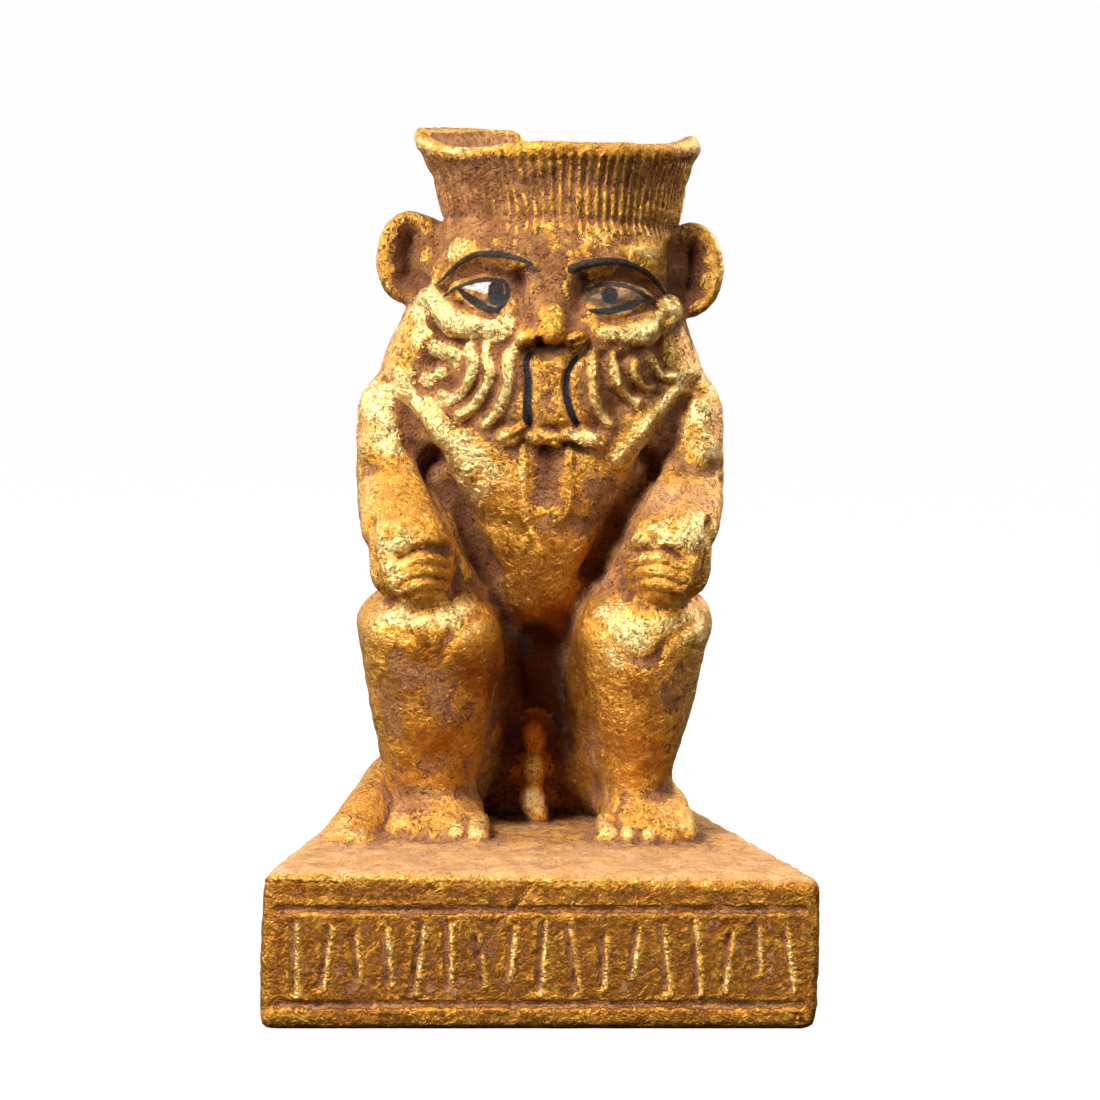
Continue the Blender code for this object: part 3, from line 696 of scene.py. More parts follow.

# %% [markdown]
# Wear is never even, so touches are then laid on the gilder's map one by one. Each touch has a radius, how
# much leaf is left (1 is whole, -1 is bare clay), how bright its gold is, and the line it follows in the
# front view. That brightness is partly burnish and partly painted light: painted highlights on the cheek,
# shoulder, fists, knees and left locks, and painted shade on the belly and down into the pit between the
# thighs.

# %% Touches of gold and of bare clay, head and crown
# radius in mm, leaf, brightness from burnish and painted light, line
GILDING_AND_PAINTED_LIGHT = {
    "crown lip right": (1.9, 0.7, -0.4, ((3.4, 121), (10.3, 120.7), (19, 121), (25.5, 121))),
    "crown lip middle": (1.7, 0.7, -0.3, ((-6, 121.3), (0, 121), (5.2, 120.7))),
    "crown lip left": (2.2, -1.2, -0.2, ((-21, 119.4), (-14, 119), (-8, 119.4))),
    "crown lip left edge": (0.9, 0.9, 0.3, ((-19, 121.5), (-15.5, 121.2), (-10.3, 121.2), (-6.9, 122))),
    "crown low right": (2.8, 0.6, 0.1, ((6, 110.4), (12.1, 110), (19, 110), (22.8, 111.4))),
    "crown low middle": (2.1, 0.3, 0, ((-6.9, 111.6), (-1.7, 111.1), (2.8, 110.4))),
    "crown right wall": (3.5, 0.2, -0.2, ((10.3, 115.9), (20.7, 115.9))),
    "crown wall": (4.2, -1, -0.1, ((-18, 115.5), (-6.9, 116), (8, 116), (22, 116))),
    "crown left low": (3, -0.9, -0.1, ((-17.5, 109.5), (-10, 110.5))),
    "forehead wash": (4, -0.7, -0.3, ((-14, 105.5), (0, 105.5), (14, 105.5))),
    "hairline": (2.4, -0.5, 0, ((-15, 107), (0, 108), (15, 106.5))),
    "between the eyes": (3.4, -1, -0.1, ((-4.5, 98), (-4, 94))),
    "between the eyes right": (3, -0.9, -0.1, ((4.6, 98), (4.8, 93))),
    "ear bowl left": (4.6, -1.4, -0.1, ((-24.3, 106), (-25.2, 102), (-24.6, 99))),
    "ear bowl right": (4.6, -1.4, -0.1, ((26.7, 104), (27.2, 100), (26.2, 97))),
    "forehead left": (1.6, 0.9, 0.8, ((-16.4, 103.7), (-13.6, 104.7))),
    "forehead middle": (1.7, 0.3, 0.1, ((-6.9, 107), (0, 107.4))),
    "forehead right": (1.9, 0.6, 0.5, ((5.6, 104.3), (10.4, 105.7), (17.4, 104.7))),
    "temple right": (1.4, 0.4, 0.2, ((21.7, 106), (23.1, 102.5))),
    "brow band left": (1.4, -0.3, -0.2, ((-12.2, 100.9), (-7, 102), (-1.7, 100.9))),
    "brow band right": (1.4, -0.2, -0.2, ((7, 100.6), (13.9, 102), (19.1, 100.2))),
    "nose bridge": (1.8, -1.1, -0.3, ((0.7, 101.8), (0.5, 95.3))),
    "nose tip": (1.4, 0.5, -0.6, ((1.7, 90.7), (3.4, 90))),
    "nose wings": (0.9, 0.6, -0.1, ((-2.1, 88.7), (2.6, 87.5), (6.5, 88.3))),
    "cheek crescent left": (2.6, 1, 1.3, ((-20, 94.5), (-17.4, 91.5), (-12.2, 89.3), (-7, 90.1))),
    "under the eye right": (2.2, -0.6, -0.3, ((9.6, 94.2), (14.4, 92.8), (18.4, 94.6))),
    "cheek crescent right": (1.4, 1, 0.6, ((9.6, 90.9), (14.3, 88.8), (19, 90.4), (22.6, 94.2),
                                           (23.4, 96.4))),
    "curl upper left": (1.7, 1.7, 1.2, ((-18, 86.6), (-15.8, 86.2))),
    "curl lower left": (1.6, 1.7, 1.1, ((-19.9, 81.5), (-18, 82.4))),
    "jaw bare left": (2.4, -1.3, -0.2, ((-20.8, 86), (-22, 82.6), (-22.6, 80.2))),
    "jaw line left": (0.8, 1, 0.3, ((-20.8, 89.5), (-23.2, 86), (-25, 83.2))),
    "side cheek right": (2.5, 0.7, 0.4, ((21.9, 86.8), (23.9, 82.9))),
    "beard left ground": (2.8, -0.8, 0, ((-15.8, 84), (-14.8, 80.6), (-7, 81.5), (-4.4, 78))),
    "beard right ground": (2.8, -0.5, 0, ((8.7, 81.5), (12.2, 78), (17.4, 83.2))),
    "moustache": (1.4, -0.5, -0.2, ((-0.9, 86.3), (4.3, 86.3))),
    "beard tongue": (1.8, -0.9, -0.1, ((0.9, 81.5), (1.4, 76.3))),
    "beard hem": (1.5, 0.9, 0.3, ((-6.2, 71.6), (-3.1, 74), (-1, 72.4), (1.6, 71.4), (4.4, 72.4), (9, 71.2))),
}

# %% Touches on the trunk and arms
GILDING_AND_PAINTED_LIGHT.update({
    "shoulder left": (2.5, 1, 0.9, ((-28.7, 79.4), (-24.8, 80.1), (-22.7, 78))),
    "chest band left": (2.3, 1, 1, ((-23.8, 78), (-20.3, 75.9), (-16.8, 70.9), (-13.3, 67.8))),
    "chest left": (3.9, 0.7, 0.4, ((-14, 72.7), (-10.5, 69.2), (-7.9, 65.7))),
    "chest lower left": (2.5, 0.8, 0.6, ((-15.8, 63.1), (-12.6, 60.5), (-10.5, 57))),
    "chest right": (3.9, 0.8, 0.5, ((14.1, 70.1), (19.4, 72.7), (24.6, 78))),
    "chest right lower": (2.5, 0.6, 0.1, ((10.5, 69.3), (14.9, 67.5))),
    "upper arm left": (3.5, 0.7, 0.6, ((-27.4, 74.5), (-26.2, 69.2))),
    "upper arm right": (2.8, 0.6, 0.4, ((28.7, 74.5), (28.4, 69.2))),
    "arm groove left": (2.7, -1.2, -0.2, ((-24, 74.4), (-20.5, 67.3), (-16.9, 60.2), (-13.4, 52.2),
                                          (-10.7, 45.9))),
    "arm groove right": (2.7, -1.1, -0.2, ((23.5, 72.7), (21.4, 65.6), (17.8, 58.4), (14.3, 52.2),
                                           (10.7, 45.9))),
    "side right": (4.6, -1, -0.2, ((12.4, 63.8), (12.5, 56.7), (10.7, 49.6))),
    "recess": (2.5, -0.9, -0.3, ((1.8, 69.2), (1.8, 60.4))),
    "recess edges": (0.7, 0.6, 0.2, ((-3.3, 67.5), (-3, 60.5), (-1.4, 55.2), (0, 51.6))),
    "recess edge right": (0.7, 0.4, 0.2, ((6.3, 69.2), (6.5, 62.2), (5.6, 58.7))),
    "belly": (6, 0.25, -0.6, ((0.9, 49.8), (0.9, 42.7))),
    "belly left": (3.2, 0.5, -0.2, ((-6.2, 56.9), (-7.1, 49.8))),
    "belly pit": (6, 0.8, -1, ((0.9, 34), (0.9, 26.4), (0.9, 20))),
    "forearm left": (4.6, 0.8, -0.1, ((-27.2, 60.5), (-24.6, 57.9))),
    "forearm right": (4.2, -0.25, -0.2, ((21.9, 59.6), (26.3, 60.5))),
    "hand left back": (2.7, 0.8, 0.5, ((-24.9, 54), (-24, 48.9))),
    "hand left fingers": (4.1, 0.6, -0.2, ((-20.5, 50.7), (-19.7, 45.6))),
    "hand right back": (3.1, 0.9, 0.7, ((17.2, 54), (25.7, 54.9))),
    "hand right fingers": (4.4, 0.6, -0.1, ((20.5, 49), (23.9, 45.6))),
})

# %% Touches on the legs, feet and tail
GILDING_AND_PAINTED_LIGHT.update({
    "knee left": (3.1, 0.9, 0.8, ((-25.5, 40.2), (-20.7, 40.9), (-13.8, 41.2))),
    "knee left inner": (2.1, 0.5, -0.1, ((-10.5, 41.5), (-8.4, 36.2))),
    "knee left wedge": (2.4, 0.8, -0.6, ((-19, 36.7), (-19.7, 34.1))),
    "knee right": (2.7, 0.9, 0.8, ((12.4, 40.2), (15.5, 36.7), (13.8, 33.2))),
    "knee right outer": (2.8, 0.8, 0.4, ((22.1, 39.7), (25.9, 39.7))),
    "shin left": (5, 0, -0.5, ((-24.3, 32.9), (-20.9, 25.9), (-17.4, 18.9))),
    "shin left bare": (2.6, -0.9, -0.3, ((-23.6, 30.4), (-19.6, 30.6), (-15.8, 31.6))),
    "shin left bare low": (2.2, -0.9, -0.3, ((-27, 24.6), (-25.4, 21.6))),
    "shin left gold": (1.7, 0.7, -0.1, ((-19.5, 18.1), (-12.2, 20.7))),
    "shin left orange": (2.8, 0.8, -0.7, ((-13, 31.2), (-8.7, 27.7))),
    "shin left patch": (2.8, -1, -0.3, ((-17.4, 25.9), (-14.8, 23.8))),
    "shin left patch upper": (1.6, -0.7, -0.3, ((-24.3, 33.9), (-19.1, 31.6))),
    "shin left inner": (1.8, -0.5, -0.3, ((-7.4, 34.1), (-7.8, 21.7))),
    "shin right": (3.8, 0.8, -0.1, ((11.3, 29.3), (11.3, 24.1))),
    "shin right mid": (3.1, 0.6, -0.5, ((17.4, 27.6), (19.2, 22.3))),
    "shin right patch": (2.6, -1, -0.3, ((17.4, 33), (21.2, 30.6), (22.4, 25.4))),
    "shin right streak": (0.9, 0.8, 0, ((13.2, 33), (13.8, 26), (14.2, 20))),
    "ankle right": (3.1, 0.1, -0.5, ((14.1, 16.5), (19.4, 14.7))),
    "ankle left": (3.1, -0.3, -0.4, ((-22.9, 14.4), (-14.1, 13.8))),
    "foot left": (2.4, 0.3, 0.4, ((-20, 8.4), (-16.6, 8.4))),
    "toes left": (1.4, 0.3, 0.6, ((-15.6, 3), (-11.2, 2.5))),
    "foot left side": (3, -0.6, 0, ((-24.5, 8), (-24, 3))),
    "foot right": (2.8, 0.1, 0.2, ((13.9, 6.7), (20, 6.7))),
    "toes right": (1.4, 0.1, 0.4, ((12.1, 2.5), (19, 2.5))),
    "spill knob": (1.5, 0.6, 0.5, ((-35.3, 3.2), (-31.9, 1.4))),
    "spill": (2.9, 0, -0.4, ((-34.2, 8), (-39.6, 0.7))),
    "tail root": (1.6, 1.2, 1, ((-1.4, 17.8),)),
    "tail knot": (1.5, 1.2, 1, ((-1.4, 12.3), (-1.4, 10.5))),
    "tail tuft": (1.6, 1, 0.9, ((-2.2, 6.1), (-0.4, 5.1))),
})
# painted shade in the hollows, and dust: radius in mm, strength, line
SHADE_TOUCHES = {
    "eye socket right": (2, 0.9, ((7.5, 99.2), (12.4, 100.2), (18, 98.6))),
    "eye socket left": (1.5, 0.5, ((-15, 100.6), (-10, 101), (-5.5, 99.6))),
    "ear bowl left": (3.4, 1, ((-24.3, 105.6), (-25.1, 102.4), (-24.9, 99))),
    "ear bowl right": (3.4, 1.2, ((26.6, 103.6), (26.9, 100.4), (26.2, 97.2))),
    "between the thighs": (6.5, 2.4, ((-0.5, 34), (0.5, 27), (0.5, 20))),
    "beside the tail left": (3, 1.6, ((-6, 22), (-5.6, 15))),
    "beside the tail right": (3, 1.6, ((5.6, 22), (5.6, 15))),
    "left flank": (2.6, 0.2, ((-23, 74), (-19.6, 67), (-14.6, 57.5), (-9, 47))),
    "right flank": (4, 0.25, ((11.4, 62), (11.4, 52))),
    "recess": (2.6, 0.6, ((1.8, 68.5), (1.8, 60.5))),
    "right armpit": (3, 0.15, ((23.4, 72), (21.4, 66), (17.6, 58.6))),
}
DUSTY = {
    "right forearm": (3.6, 0.75, ((20.5, 61), (27.5, 61.5))),
    "left forearm": (3, 0.35, ((-26, 62), (-22, 60))),
    "right shin": (2.6, 0.45, ((27, 34), (24, 20))),
}
print("touches:", len(GILDING_AND_PAINTED_LIGHT))

# %% The crests of the locks keep their leaf, and the furrows beside them lose it
for number, path in enumerate(LOCKS):
    GILDING_AND_PAINTED_LIGHT[f"furrow {number}"] = (2.0, -0.9, -0.1, in_head(path[1:]))
for number, path in enumerate(LOCKS):
    # the left locks get a stronger painted highlight than the right ones, as the light falls from the left
    bright = 1.1 if path[0][0] < 0 else 0.5
    GILDING_AND_PAINTED_LIGHT[f"lock {number}"] = (0.9, 2.4, bright, in_head(path[1:]))
# each mark gets a painted highlight along its lower right edge
for number, (path, *_) in enumerate(marks):
    GILDING_AND_PAINTED_LIGHT[f"mark {number}"] = (0.5, 0.7, 1.3, [(x + 0.5, z - 0.3) for x, z in path])

# %% [markdown]
# A touch fades out softly at its edge, and only the skin that faces the front takes it. On the sides and
# the back the relief alone decides. The maps become named attributes of the mesh, which the material
# reads.

# %% The maps of leaf, and of burnish with painted light and shade
PLAIN_LEAF, PLAIN_BURNISH_AND_LIGHT = 0.05, -0.1
# a touch's strength falls to a third at FADE times its radius, and is left out beyond REACH times its radius
FADE, REACH = 1.15, 2.2
facing = np.clip(-normals[:, 1] * 3 + 0.3, 0, 1) * (points[:, 1] < 14)
front_view = points[:, (0, 2)]
proud, broad = np.empty(len(points)), np.empty(len(points))
statue.data.attributes["proud"].data.foreach_get("value", proud)
statue.data.attributes["broad"].data.foreach_get("value", broad)
leaf = np.clip(5.0 * proud, -0.8, 0.7) + np.clip(0.8 * broad, -0.7, 0.5) + PLAIN_LEAF
# crests lighter, hollows darker: partly burnish, partly painted light and shade
burnish_and_painted_light = np.clip(2.5 * proud + 0.3 * broad, -0.4, 0.4) + PLAIN_BURNISH_AND_LIGHT
for wide, gold, bright, path in GILDING_AND_PAINTED_LIGHT.values():
    line = smooth_line(path)
    near = (facing > 0) & near_line(front_view, line, REACH * wide)
    touch = np.exp(-(away_from(front_view[near], line) / (FADE * wide)) ** 2) * facing[near]
    leaf[near] += 0.9 * gold * touch
    burnish_and_painted_light[near] += bright * touch
print("leaf map from the touches:", np.round(np.percentile(leaf, (5, 50, 95)), 2))

# %% [markdown]
# Dust lies on what faces up: the block's top, the feet and the crown's dish. There is less of it round the
# feet, and there and in the hollows the colour is painted darker, as shade.

# %% The maps of dust and painted shade


def smudge(wide, strength, path):
    """How strongly one soft-edged touch reaches each point of the front."""
    away = away_from(front_view, smooth_line(path))
    return strength * np.exp(-(away / wide) ** 2) * facing


FEET_SIDE, FEET_FRONT, FEET_EDGE = 28, -12, 8
DISH_FLOOR, DISH_X, DISH_RADIUS = 117, 2.9, 22.6
beside_feet = np.clip(np.abs(points[:, 0]) - FEET_SIDE, 0, None)
before_feet = np.clip(FEET_FRONT - points[:, 1], 0, None)
# painted shade on the block's top round the feet, where they stand on it
shade_round_feet = np.exp(-(np.hypot(beside_feet, before_feet) / FEET_EDGE) ** 2)
on_plinth_top = np.clip(normals[:, 2] * 4 - 2.6, 0, 1) * (points[:, 2] < 3) * (points[:, 2] > -4)
on_feet = np.clip(normals[:, 2] * 2, 0, 1) * np.clip((16 - points[:, 2]) / 8, 0, 1) * (points[:, 2] > -4)
dust = np.clip(0.75 * on_plinth_top * (1 - 0.75 * shade_round_feet) + 0.35 * on_feet, 0, 1)
for touch in DUSTY.values():
    dust = np.maximum(dust, smudge(*touch))
from_dish = np.hypot(points[:, 0] - DISH_X, (points[:, 1] - CROWN_Y) / CROWN_FLAT)
dish = (points[:, 2] > DISH_FLOOR) & (from_dish < DISH_RADIUS)
leaf = np.where(dish, leaf - 1.1, leaf)
dust = np.where(dish, 0.55, dust)
# painted shade: darker in the hollows, and on the block's top round the feet
painted_shade = np.maximum(np.clip(-1.1 * broad - 0.1, 0, 1), 0.85 * on_plinth_top * shade_round_feet)
on_tail = (away_from(front_view, np.array(((-1.0, 19.0), (-1.0, 4.0)))) < 3.2) & (points[:, 1] < 9)
for touch in SHADE_TOUCHES.values():
    painted_shade = np.maximum(painted_shade, smudge(*touch) * ~on_tail)
# The block's front below its top gets a darker, duller gold.
low_front = (points[:, 1] < -36) & (points[:, 2] < -1)
leaf = np.where(low_front, leaf + 0.05, leaf)
burnish_and_painted_light = np.where(low_front, burnish_and_painted_light - 0.70, burnish_and_painted_light)
print("points with dust:", int((dust > 0.2).sum()), "and with painted_shade_points:", int((painted_shade > 0.2).sum()))

# %% [markdown]
# The painter drew brows, eye outlines and the mouth's lines in black with a fine brush, pressing harder
# in the middle of a stroke. Each is a line with its own half-widths, and what is kept is the distance to
# its edge, so the material can draw a clean edge that is finer than the mesh.

# %% The painted lines
PAINT = (
    (BROWS["left"], (0.15, 0.4, 0.5, 0.6, 0.45, 0.1)),
    (BROWS["right"], (0.8, 0.75, 0.6, 0.5, 0.4, 0.2)),
    (LIDS["left"], (0.2, 0.35, 0.4, 0.4, 0.3)),
    (LIDS["right"], (0.25, 0.35, 0.4, 0.4, 0.2)),
    (((-15.9, 96.6), (-14.7, 95.6), (-13.2, 94.6), (-11.8, 93.8), (-10.4, 93.2), (-9, 93.2)),
     (0.3, 0.6, 0.7, 0.7, 0.6, 0.4)),
    (((-7.8, 97.8), (-7.4, 96.3), (-8, 94.5), (-9, 93.2)), (0.4, 0.45, 0.45, 0.4)),
    (((6.6, 93.9), (8.4, 93.7), (10.5, 93.9), (12.5, 94.5), (14.6, 95.3), (16.5, 96.1)),
     (0.2, 0.5, 0.6, 0.6, 0.5, 0.2)),
    (((-9.5, 96.9), (-9.4, 95.4)), (1.35, 1.4)),
    (((10.3, 96.7), (10.3, 96.3)), (1.4, 1.2)),
    (((-2.6, 86.2), (-3.4, 85.2), (-3.7, 83.9), (-3.2, 81.3), (-3.2, 79.3), (-3.2, 77), (-3, 74.7),
      (-2.6, 73.8)), (0.3, 0.5, 0.5, 0.55, 0.65, 0.75, 0.85, 0.4)),
    (((5.1, 85.7), (4.4, 84.6), (3.6, 83), (3.4, 81.3), (3.5, 79), (4.1, 77), (4.8, 75.4), (5.6, 73.9)),
     (0.3, 0.45, 0.5, 0.5, 0.55, 0.6, 0.6, 0.4)),
)
WHITES = (
    (((-14.8, 96.9), (-13.0, 97.1), (-11.4, 97.2)), (0.25, 0.7, 1.1)),
)
DULL_WHITES = (
    (((7.2, 96.3), (8.5, 96.4)), (0.15, 0.45)),
    (((12.2, 97.0), (13.6, 97.1)), (0.45, 0.15)),
)
# dark smears round the eyes and brow; the second one, under the nose, is the nostrils' painted shadow
SMEARS_AND_SHADOW = (
    (((7.0, 96.0), (10.4, 95.7), (14.0, 96.1), (17.0, 96.4)), (1.0, 2.0, 1.7, 0.6)),
    (((0.4, 86.9), (1.9, 86.9)), (0.3, 0.2)),
    (((-12.6, 94.6), (-10.2, 94.4), (-8.2, 95.6)), (0.3, 0.9, 0.6)),
    (((-4.0, 101.2), (-2.4, 100.2)), (0.6, 0.3)),
)


# mm, farther than any brush mark reaches
FAR = 9.0


def painted(strokes):
    """The distance in mm from each point to the nearest stroke's edge. It is negative under the paint."""
    nearest = np.full(len(points), FAR)
    ready = (facing > 0) & (points[:, 2] > 70)
    for path, widths in strokes:
        line = smooth_line(in_head(path))
        spread = np.interp(np.linspace(0, 1, len(line)), np.linspace(0, 1, len(widths)), widths)
        nearest[ready] = np.minimum(nearest[ready], away_from(front_view[ready], line, spread))
    return nearest


maps = {"leaf": leaf, "burnish_and_painted_light": burnish_and_painted_light, "dust": dust, "painted_shade": painted_shade, "black": painted(PAINT),
        "white": painted(WHITES), "dull": painted(DULL_WHITES), "smear_and_shadow": painted(SMEARS_AND_SHADOW)}
for name, values in maps.items():
    keep_map(name, values)
print("maps on the skin:", ", ".join(maps))

# %% [markdown]
# Colours are written as sRGB hex, the way a paint chart gives them, and one function makes them linear.
# One helper adds a node with its settings and links, and three more, made with the material's own node
# tree, do its sums. Each material below then reads as a list of its layers.

# %% Colour and node helpers


def linear(hex_colour):
    """An sRGB hex colour as the linear red, green, blue and alpha that a socket takes."""
    channels = [int(hex_colour[i:i + 2], 16) / 255 for i in (1, 3, 5)]
    return (*[c / 12.92 if c <= 0.04045 else ((c + 0.055) / 1.055) ** 2.4 for c in channels], 1)


def node(tree, kind, settings, inputs, out=0):
    """Adds one node, sets its options, fills or links its inputs, and gives back one of its outputs."""
    made = tree.nodes.new(kind)
    for name, value in settings.items():
        setattr(made, name, value)
    for name, value in inputs.items():
        if isinstance(value, bpy.types.NodeSocket):
            tree.links.new(value, made.inputs[name])
        else:
            made.inputs[name].default_value = value
    return made.outputs[out] if len(made.outputs) else made


# %% [markdown]
# The finish is gold leaf over brown clay. Leaf is beaten gold a ten-thousandth of a millimetre thick: it
# wrinkles as it is laid, follows every dent, tears into ragged islands and shows the brown ground in
# between. Gold takes its colour from its metal, so its base colour is a deep orange yellow and the
# metallic is high. Bare clay is dull, pitted and warm brown. The black is soot in glue, the white is
# chalk.

# %% Gold leaf over clay: the maps and the noises
skin = bpy.data.materials.new("gold leaf over brown clay")
skin.use_nodes = True
tree = skin.node_tree
tree.nodes.clear()


def compute(operation, *values):
    """One operation on one to three values. MULTIPLY_ADD is the first times the second, plus the third."""
    return node(tree, "ShaderNodeMath", {"operation": operation}, dict(enumerate(values)))


def ramp(value, none, full, least=0.0, most=1.0):
    """Runs smoothly from `least`, where the value is `none`, to `most`, where it is `full`."""
    return node(tree, "ShaderNodeMapRange", {"interpolation_type": "SMOOTHSTEP"},
                {"Value": value, "From Min": none, "From Max": full, "To Min": least, "To Max": most})


def mix(share, below, above, colours=False):
    """Lays one number over another, or one colour over another, where the share is 1."""
    kind, first, out = ("RGBA", 6, 2) if colours else ("FLOAT", 2, 0)
    return node(tree, "ShaderNodeMix", {"data_type": kind}, {0: share, first: below, first + 1: above}, out)


where = node(tree, "ShaderNodeTexCoord", {}, {}, "Object")
on_skin = {}
for name in maps:
    on_skin[name] = node(tree, "ShaderNodeAttribute", {"attribute_name": name}, {}, "Fac")

# Each noise: its size in mm, how many finer layers it has, how strong they are, its kind, and its swirl
NOISES = {
    "islands": (4.2, 4, 0.60, "FBM", 0.0),
    "crumbs": (0.95, 4, 0.70, "FBM", 0.6),
    "swirl": (2.4, 1, 0.50, "FBM", 0.9),
    "wisps": (2.0, 2, 0.50, "FBM", 0.0),
    "creases": (1.9, 3, 0.50, "RIDGED_MULTIFRACTAL", 1.4),
    "crinkle": (1.1, 4, 0.62, "FBM", 1.5),
    "dents": (3.0, 2, 0.50, "FBM", 0.0),
    "grain": (0.55, 4, 0.65, "FBM", 0.0),
    "cloudy clay": (3.4, 5, 0.60, "FBM", 0.0),
    "brush": (0.8, 3, 0.65, "FBM", 0.5),
}
noises = {}
for name, (size_mm, layers, strength, kind, swirl) in NOISES.items():
    noises[name] = node(tree, "ShaderNodeTexNoise", {"noise_type": kind, "normalize": True},
                        {"Vector": where, "Scale": 1000 / size_mm, "Detail": layers, "Roughness": strength,
                         "Distortion": swirl}, "Fac")
PIT_MM = 2.0
pits = node(tree, "ShaderNodeTexVoronoi", {"feature": "SMOOTH_F1"},
            {"Vector": where, "Scale": 1000 / PIT_MM, "Smoothness": 0.4, "Randomness": 1.0}, "Distance")
print("noises:", len(noises))

# %% [markdown]
# Seen close, both gold and clay are covered with fine curved lines in bundles, left by the hairs of a
# stiff brush. The sine of a stretched-out noise draws such lines: they run along the noise's contours,
# about half a millimetre apart. A second noise breaks them up. Real ones are finer, but those wouldn't
# show from here.

# %% Brush hairs
# how far the phase runs, in radians, from the noise's lowest value to its highest
HAIRS = 46.0
wave = compute("SINE", compute("MULTIPLY", noises["swirl"], HAIRS))
hair = ramp(wave, -0.40, -1.00)
broken = ramp(noises["wisps"], 0.40, 0.58)
noises["hairs"] = compute("MULTIPLY", hair, broken)

# %% [markdown]
# The leaf's edge is ragged at three scales: islands of a few millimetres, crumbs of one millimetre, and
# the hair lines, which cut into it where it is rubbed thin. All are added to the map before it is cut off
# at zero.

# %% Where the leaf is whole
ragged = on_skin["leaf"]
for name, reach, middle in (("islands", 2.8, 0.5), ("crumbs", 1.9, 0.5), ("hairs", -0.6, 0.2)):
    ragged = compute("ADD", ragged, compute("MULTIPLY_ADD", noises[name], reach, -reach * middle))
whole = ramp(ragged, -0.14, 0.20)
dusty = compute("ADD", compute("MULTIPLY_ADD", noises["crumbs"], 1.6, -0.8), on_skin["dust"])
dusty = ramp(dusty, 0.25, 0.90)

# %% [markdown]
# Leaf wrinkles run as short sharp creases about two millimetres apart, with a finer crinkle between them.
# Both are drawn a little coarser than real leaf has them, so that they show. Clay has pits of half a
# millimetre to two, from a Voronoi pattern, and the drag marks of a wet brush. Each layer's height is a
# sum of its noises in millimetres, and the leaf's edge stands a little above the clay.

# %% Heights in millimetres
LEAF_PROUD = 0.10
HEIGHTS = {
    "leaf": {"creases": 0.14, "crinkle": 0.60, "dents": 0.45, "hairs": -0.09},
    "clay": {"grain": 0.75, "hairs": -0.20, "crumbs": 0.35, "dents": 0.30},
}
layer_height = {}
for layer, shares in HEIGHTS.items():
    total = LEAF_PROUD if layer == "leaf" else 0.0
    for name, share in shares.items():
        total = compute("MULTIPLY_ADD", noises[name], share, total)
    layer_height[layer] = total
pit_floor = ramp(pits, 0.04, 0.30, -0.32, 0.0)
crinkled = ramp(on_skin["burnish_and_painted_light"], -0.8, 0.2, 0.5, 1.0)
layer_height["leaf"] = compute("MULTIPLY", layer_height["leaf"], crinkled)
layer_height["clay"] = compute("ADD", layer_height["clay"], pit_floor)
surface = mix(whole, layer_height["clay"], layer_height["leaf"])

# %% [markdown]
# Every colour is laid over the one before, with a mask between 0 and 1 that says where. Each mask is a
# noise or a map run from one value, where it is 0, to another, where it is 1.

# %% Colours of the clay and of the gold
burnish_and_painted_light = on_skin["burnish_and_painted_light"]
for name, reach in (("crumbs", 1.2), ("islands", 1.4)):
    burnish_and_painted_light = compute("ADD", burnish_and_painted_light, compute("MULTIPLY_ADD", noises[name], reach, -reach / 2))
COATS = {
    "clay": ("#8C562A", (
        (noises["cloudy clay"], 0.36, 0.66, 1.0, "#B27B47"),
        # painted shade: the clay darkens where the shade map is high
        (on_skin["painted_shade"], 0.20, 1.0, 0.80, "#6E4126"),
        (noises["grain"], 0.48, 0.34, 0.80, "#5F381C"),
        (noises["hairs"], 0.10, 0.90, 0.70, "#4F2C15"),
        (pits, 0.16, 0.04, 0.6, "#4A2C17"),
        # painted shade, darkest, in the deepest places
        (on_skin["painted_shade"], 1.1, 2.0, 0.95, "#2B140A"),
    )),
    "gold": ("#97591B", (
        # painted light: the gold is lighter, up to a pale yellow, where the burnish map holds painted
        # highlights, and darker where it holds painted shade
        (burnish_and_painted_light, -0.9, 0.15, 1.0, "#DD9F40"),
        (burnish_and_painted_light, 0.15, 0.95, 1.0, "#FFDF94"),
        # painted shade: the low places of the leaf's crinkle are coloured darker
        (noises["crinkle"], 0.47, 0.34, 0.60, "#8A541B"),
        (noises["hairs"], 0.10, 0.90, 0.65, "#6F4216"),
        # painted shade: the gold darkens in the deepest places
        (on_skin["painted_shade"], 1.1, 1.9, 0.95, "#3B1808"),
    )),
    "dust": ("#C08D5B", (
        (noises["cloudy clay"], 0.40, 0.66, 1.0, "#D3A677"),
        (noises["grain"], 0.50, 0.36, 0.55, "#A0703F"),
        (noises["hairs"], 0.10, 0.90, 0.45, "#8E5F35"),
    )),
}
coats = {}
for name, (ground, layers) in COATS.items():
    coats[name] = linear(ground)
    for mask, none, full, most, shade in layers:
        share = ramp(mask, none, full, 0.0, most)
        coats[name] = mix(share, coats[name], linear(shade), colours=True)
colour = mix(whole, coats["clay"], coats["gold"], colours=True)
dust_share = compute("MULTIPLY", dusty, 0.80)
colour = mix(dust_share, colour, coats["dust"], colours=True)
undusted = compute("MULTIPLY_ADD", dusty, -0.70, 0.90)
metal = compute("MULTIPLY", whole, undusted)
gold_rough = ramp(burnish_and_painted_light, -0.8, 0.8, 0.44, 0.23)
rough = mix(metal, 0.88, gold_rough)

# %% [markdown]
# Paint lies over everything. Its maps hold the distance to a stroke's edge, so adding a noise of a tenth
# of a millimetre gives the edge a dry brush's raggedness. Soot and chalk are both dull and not metal at
# all.

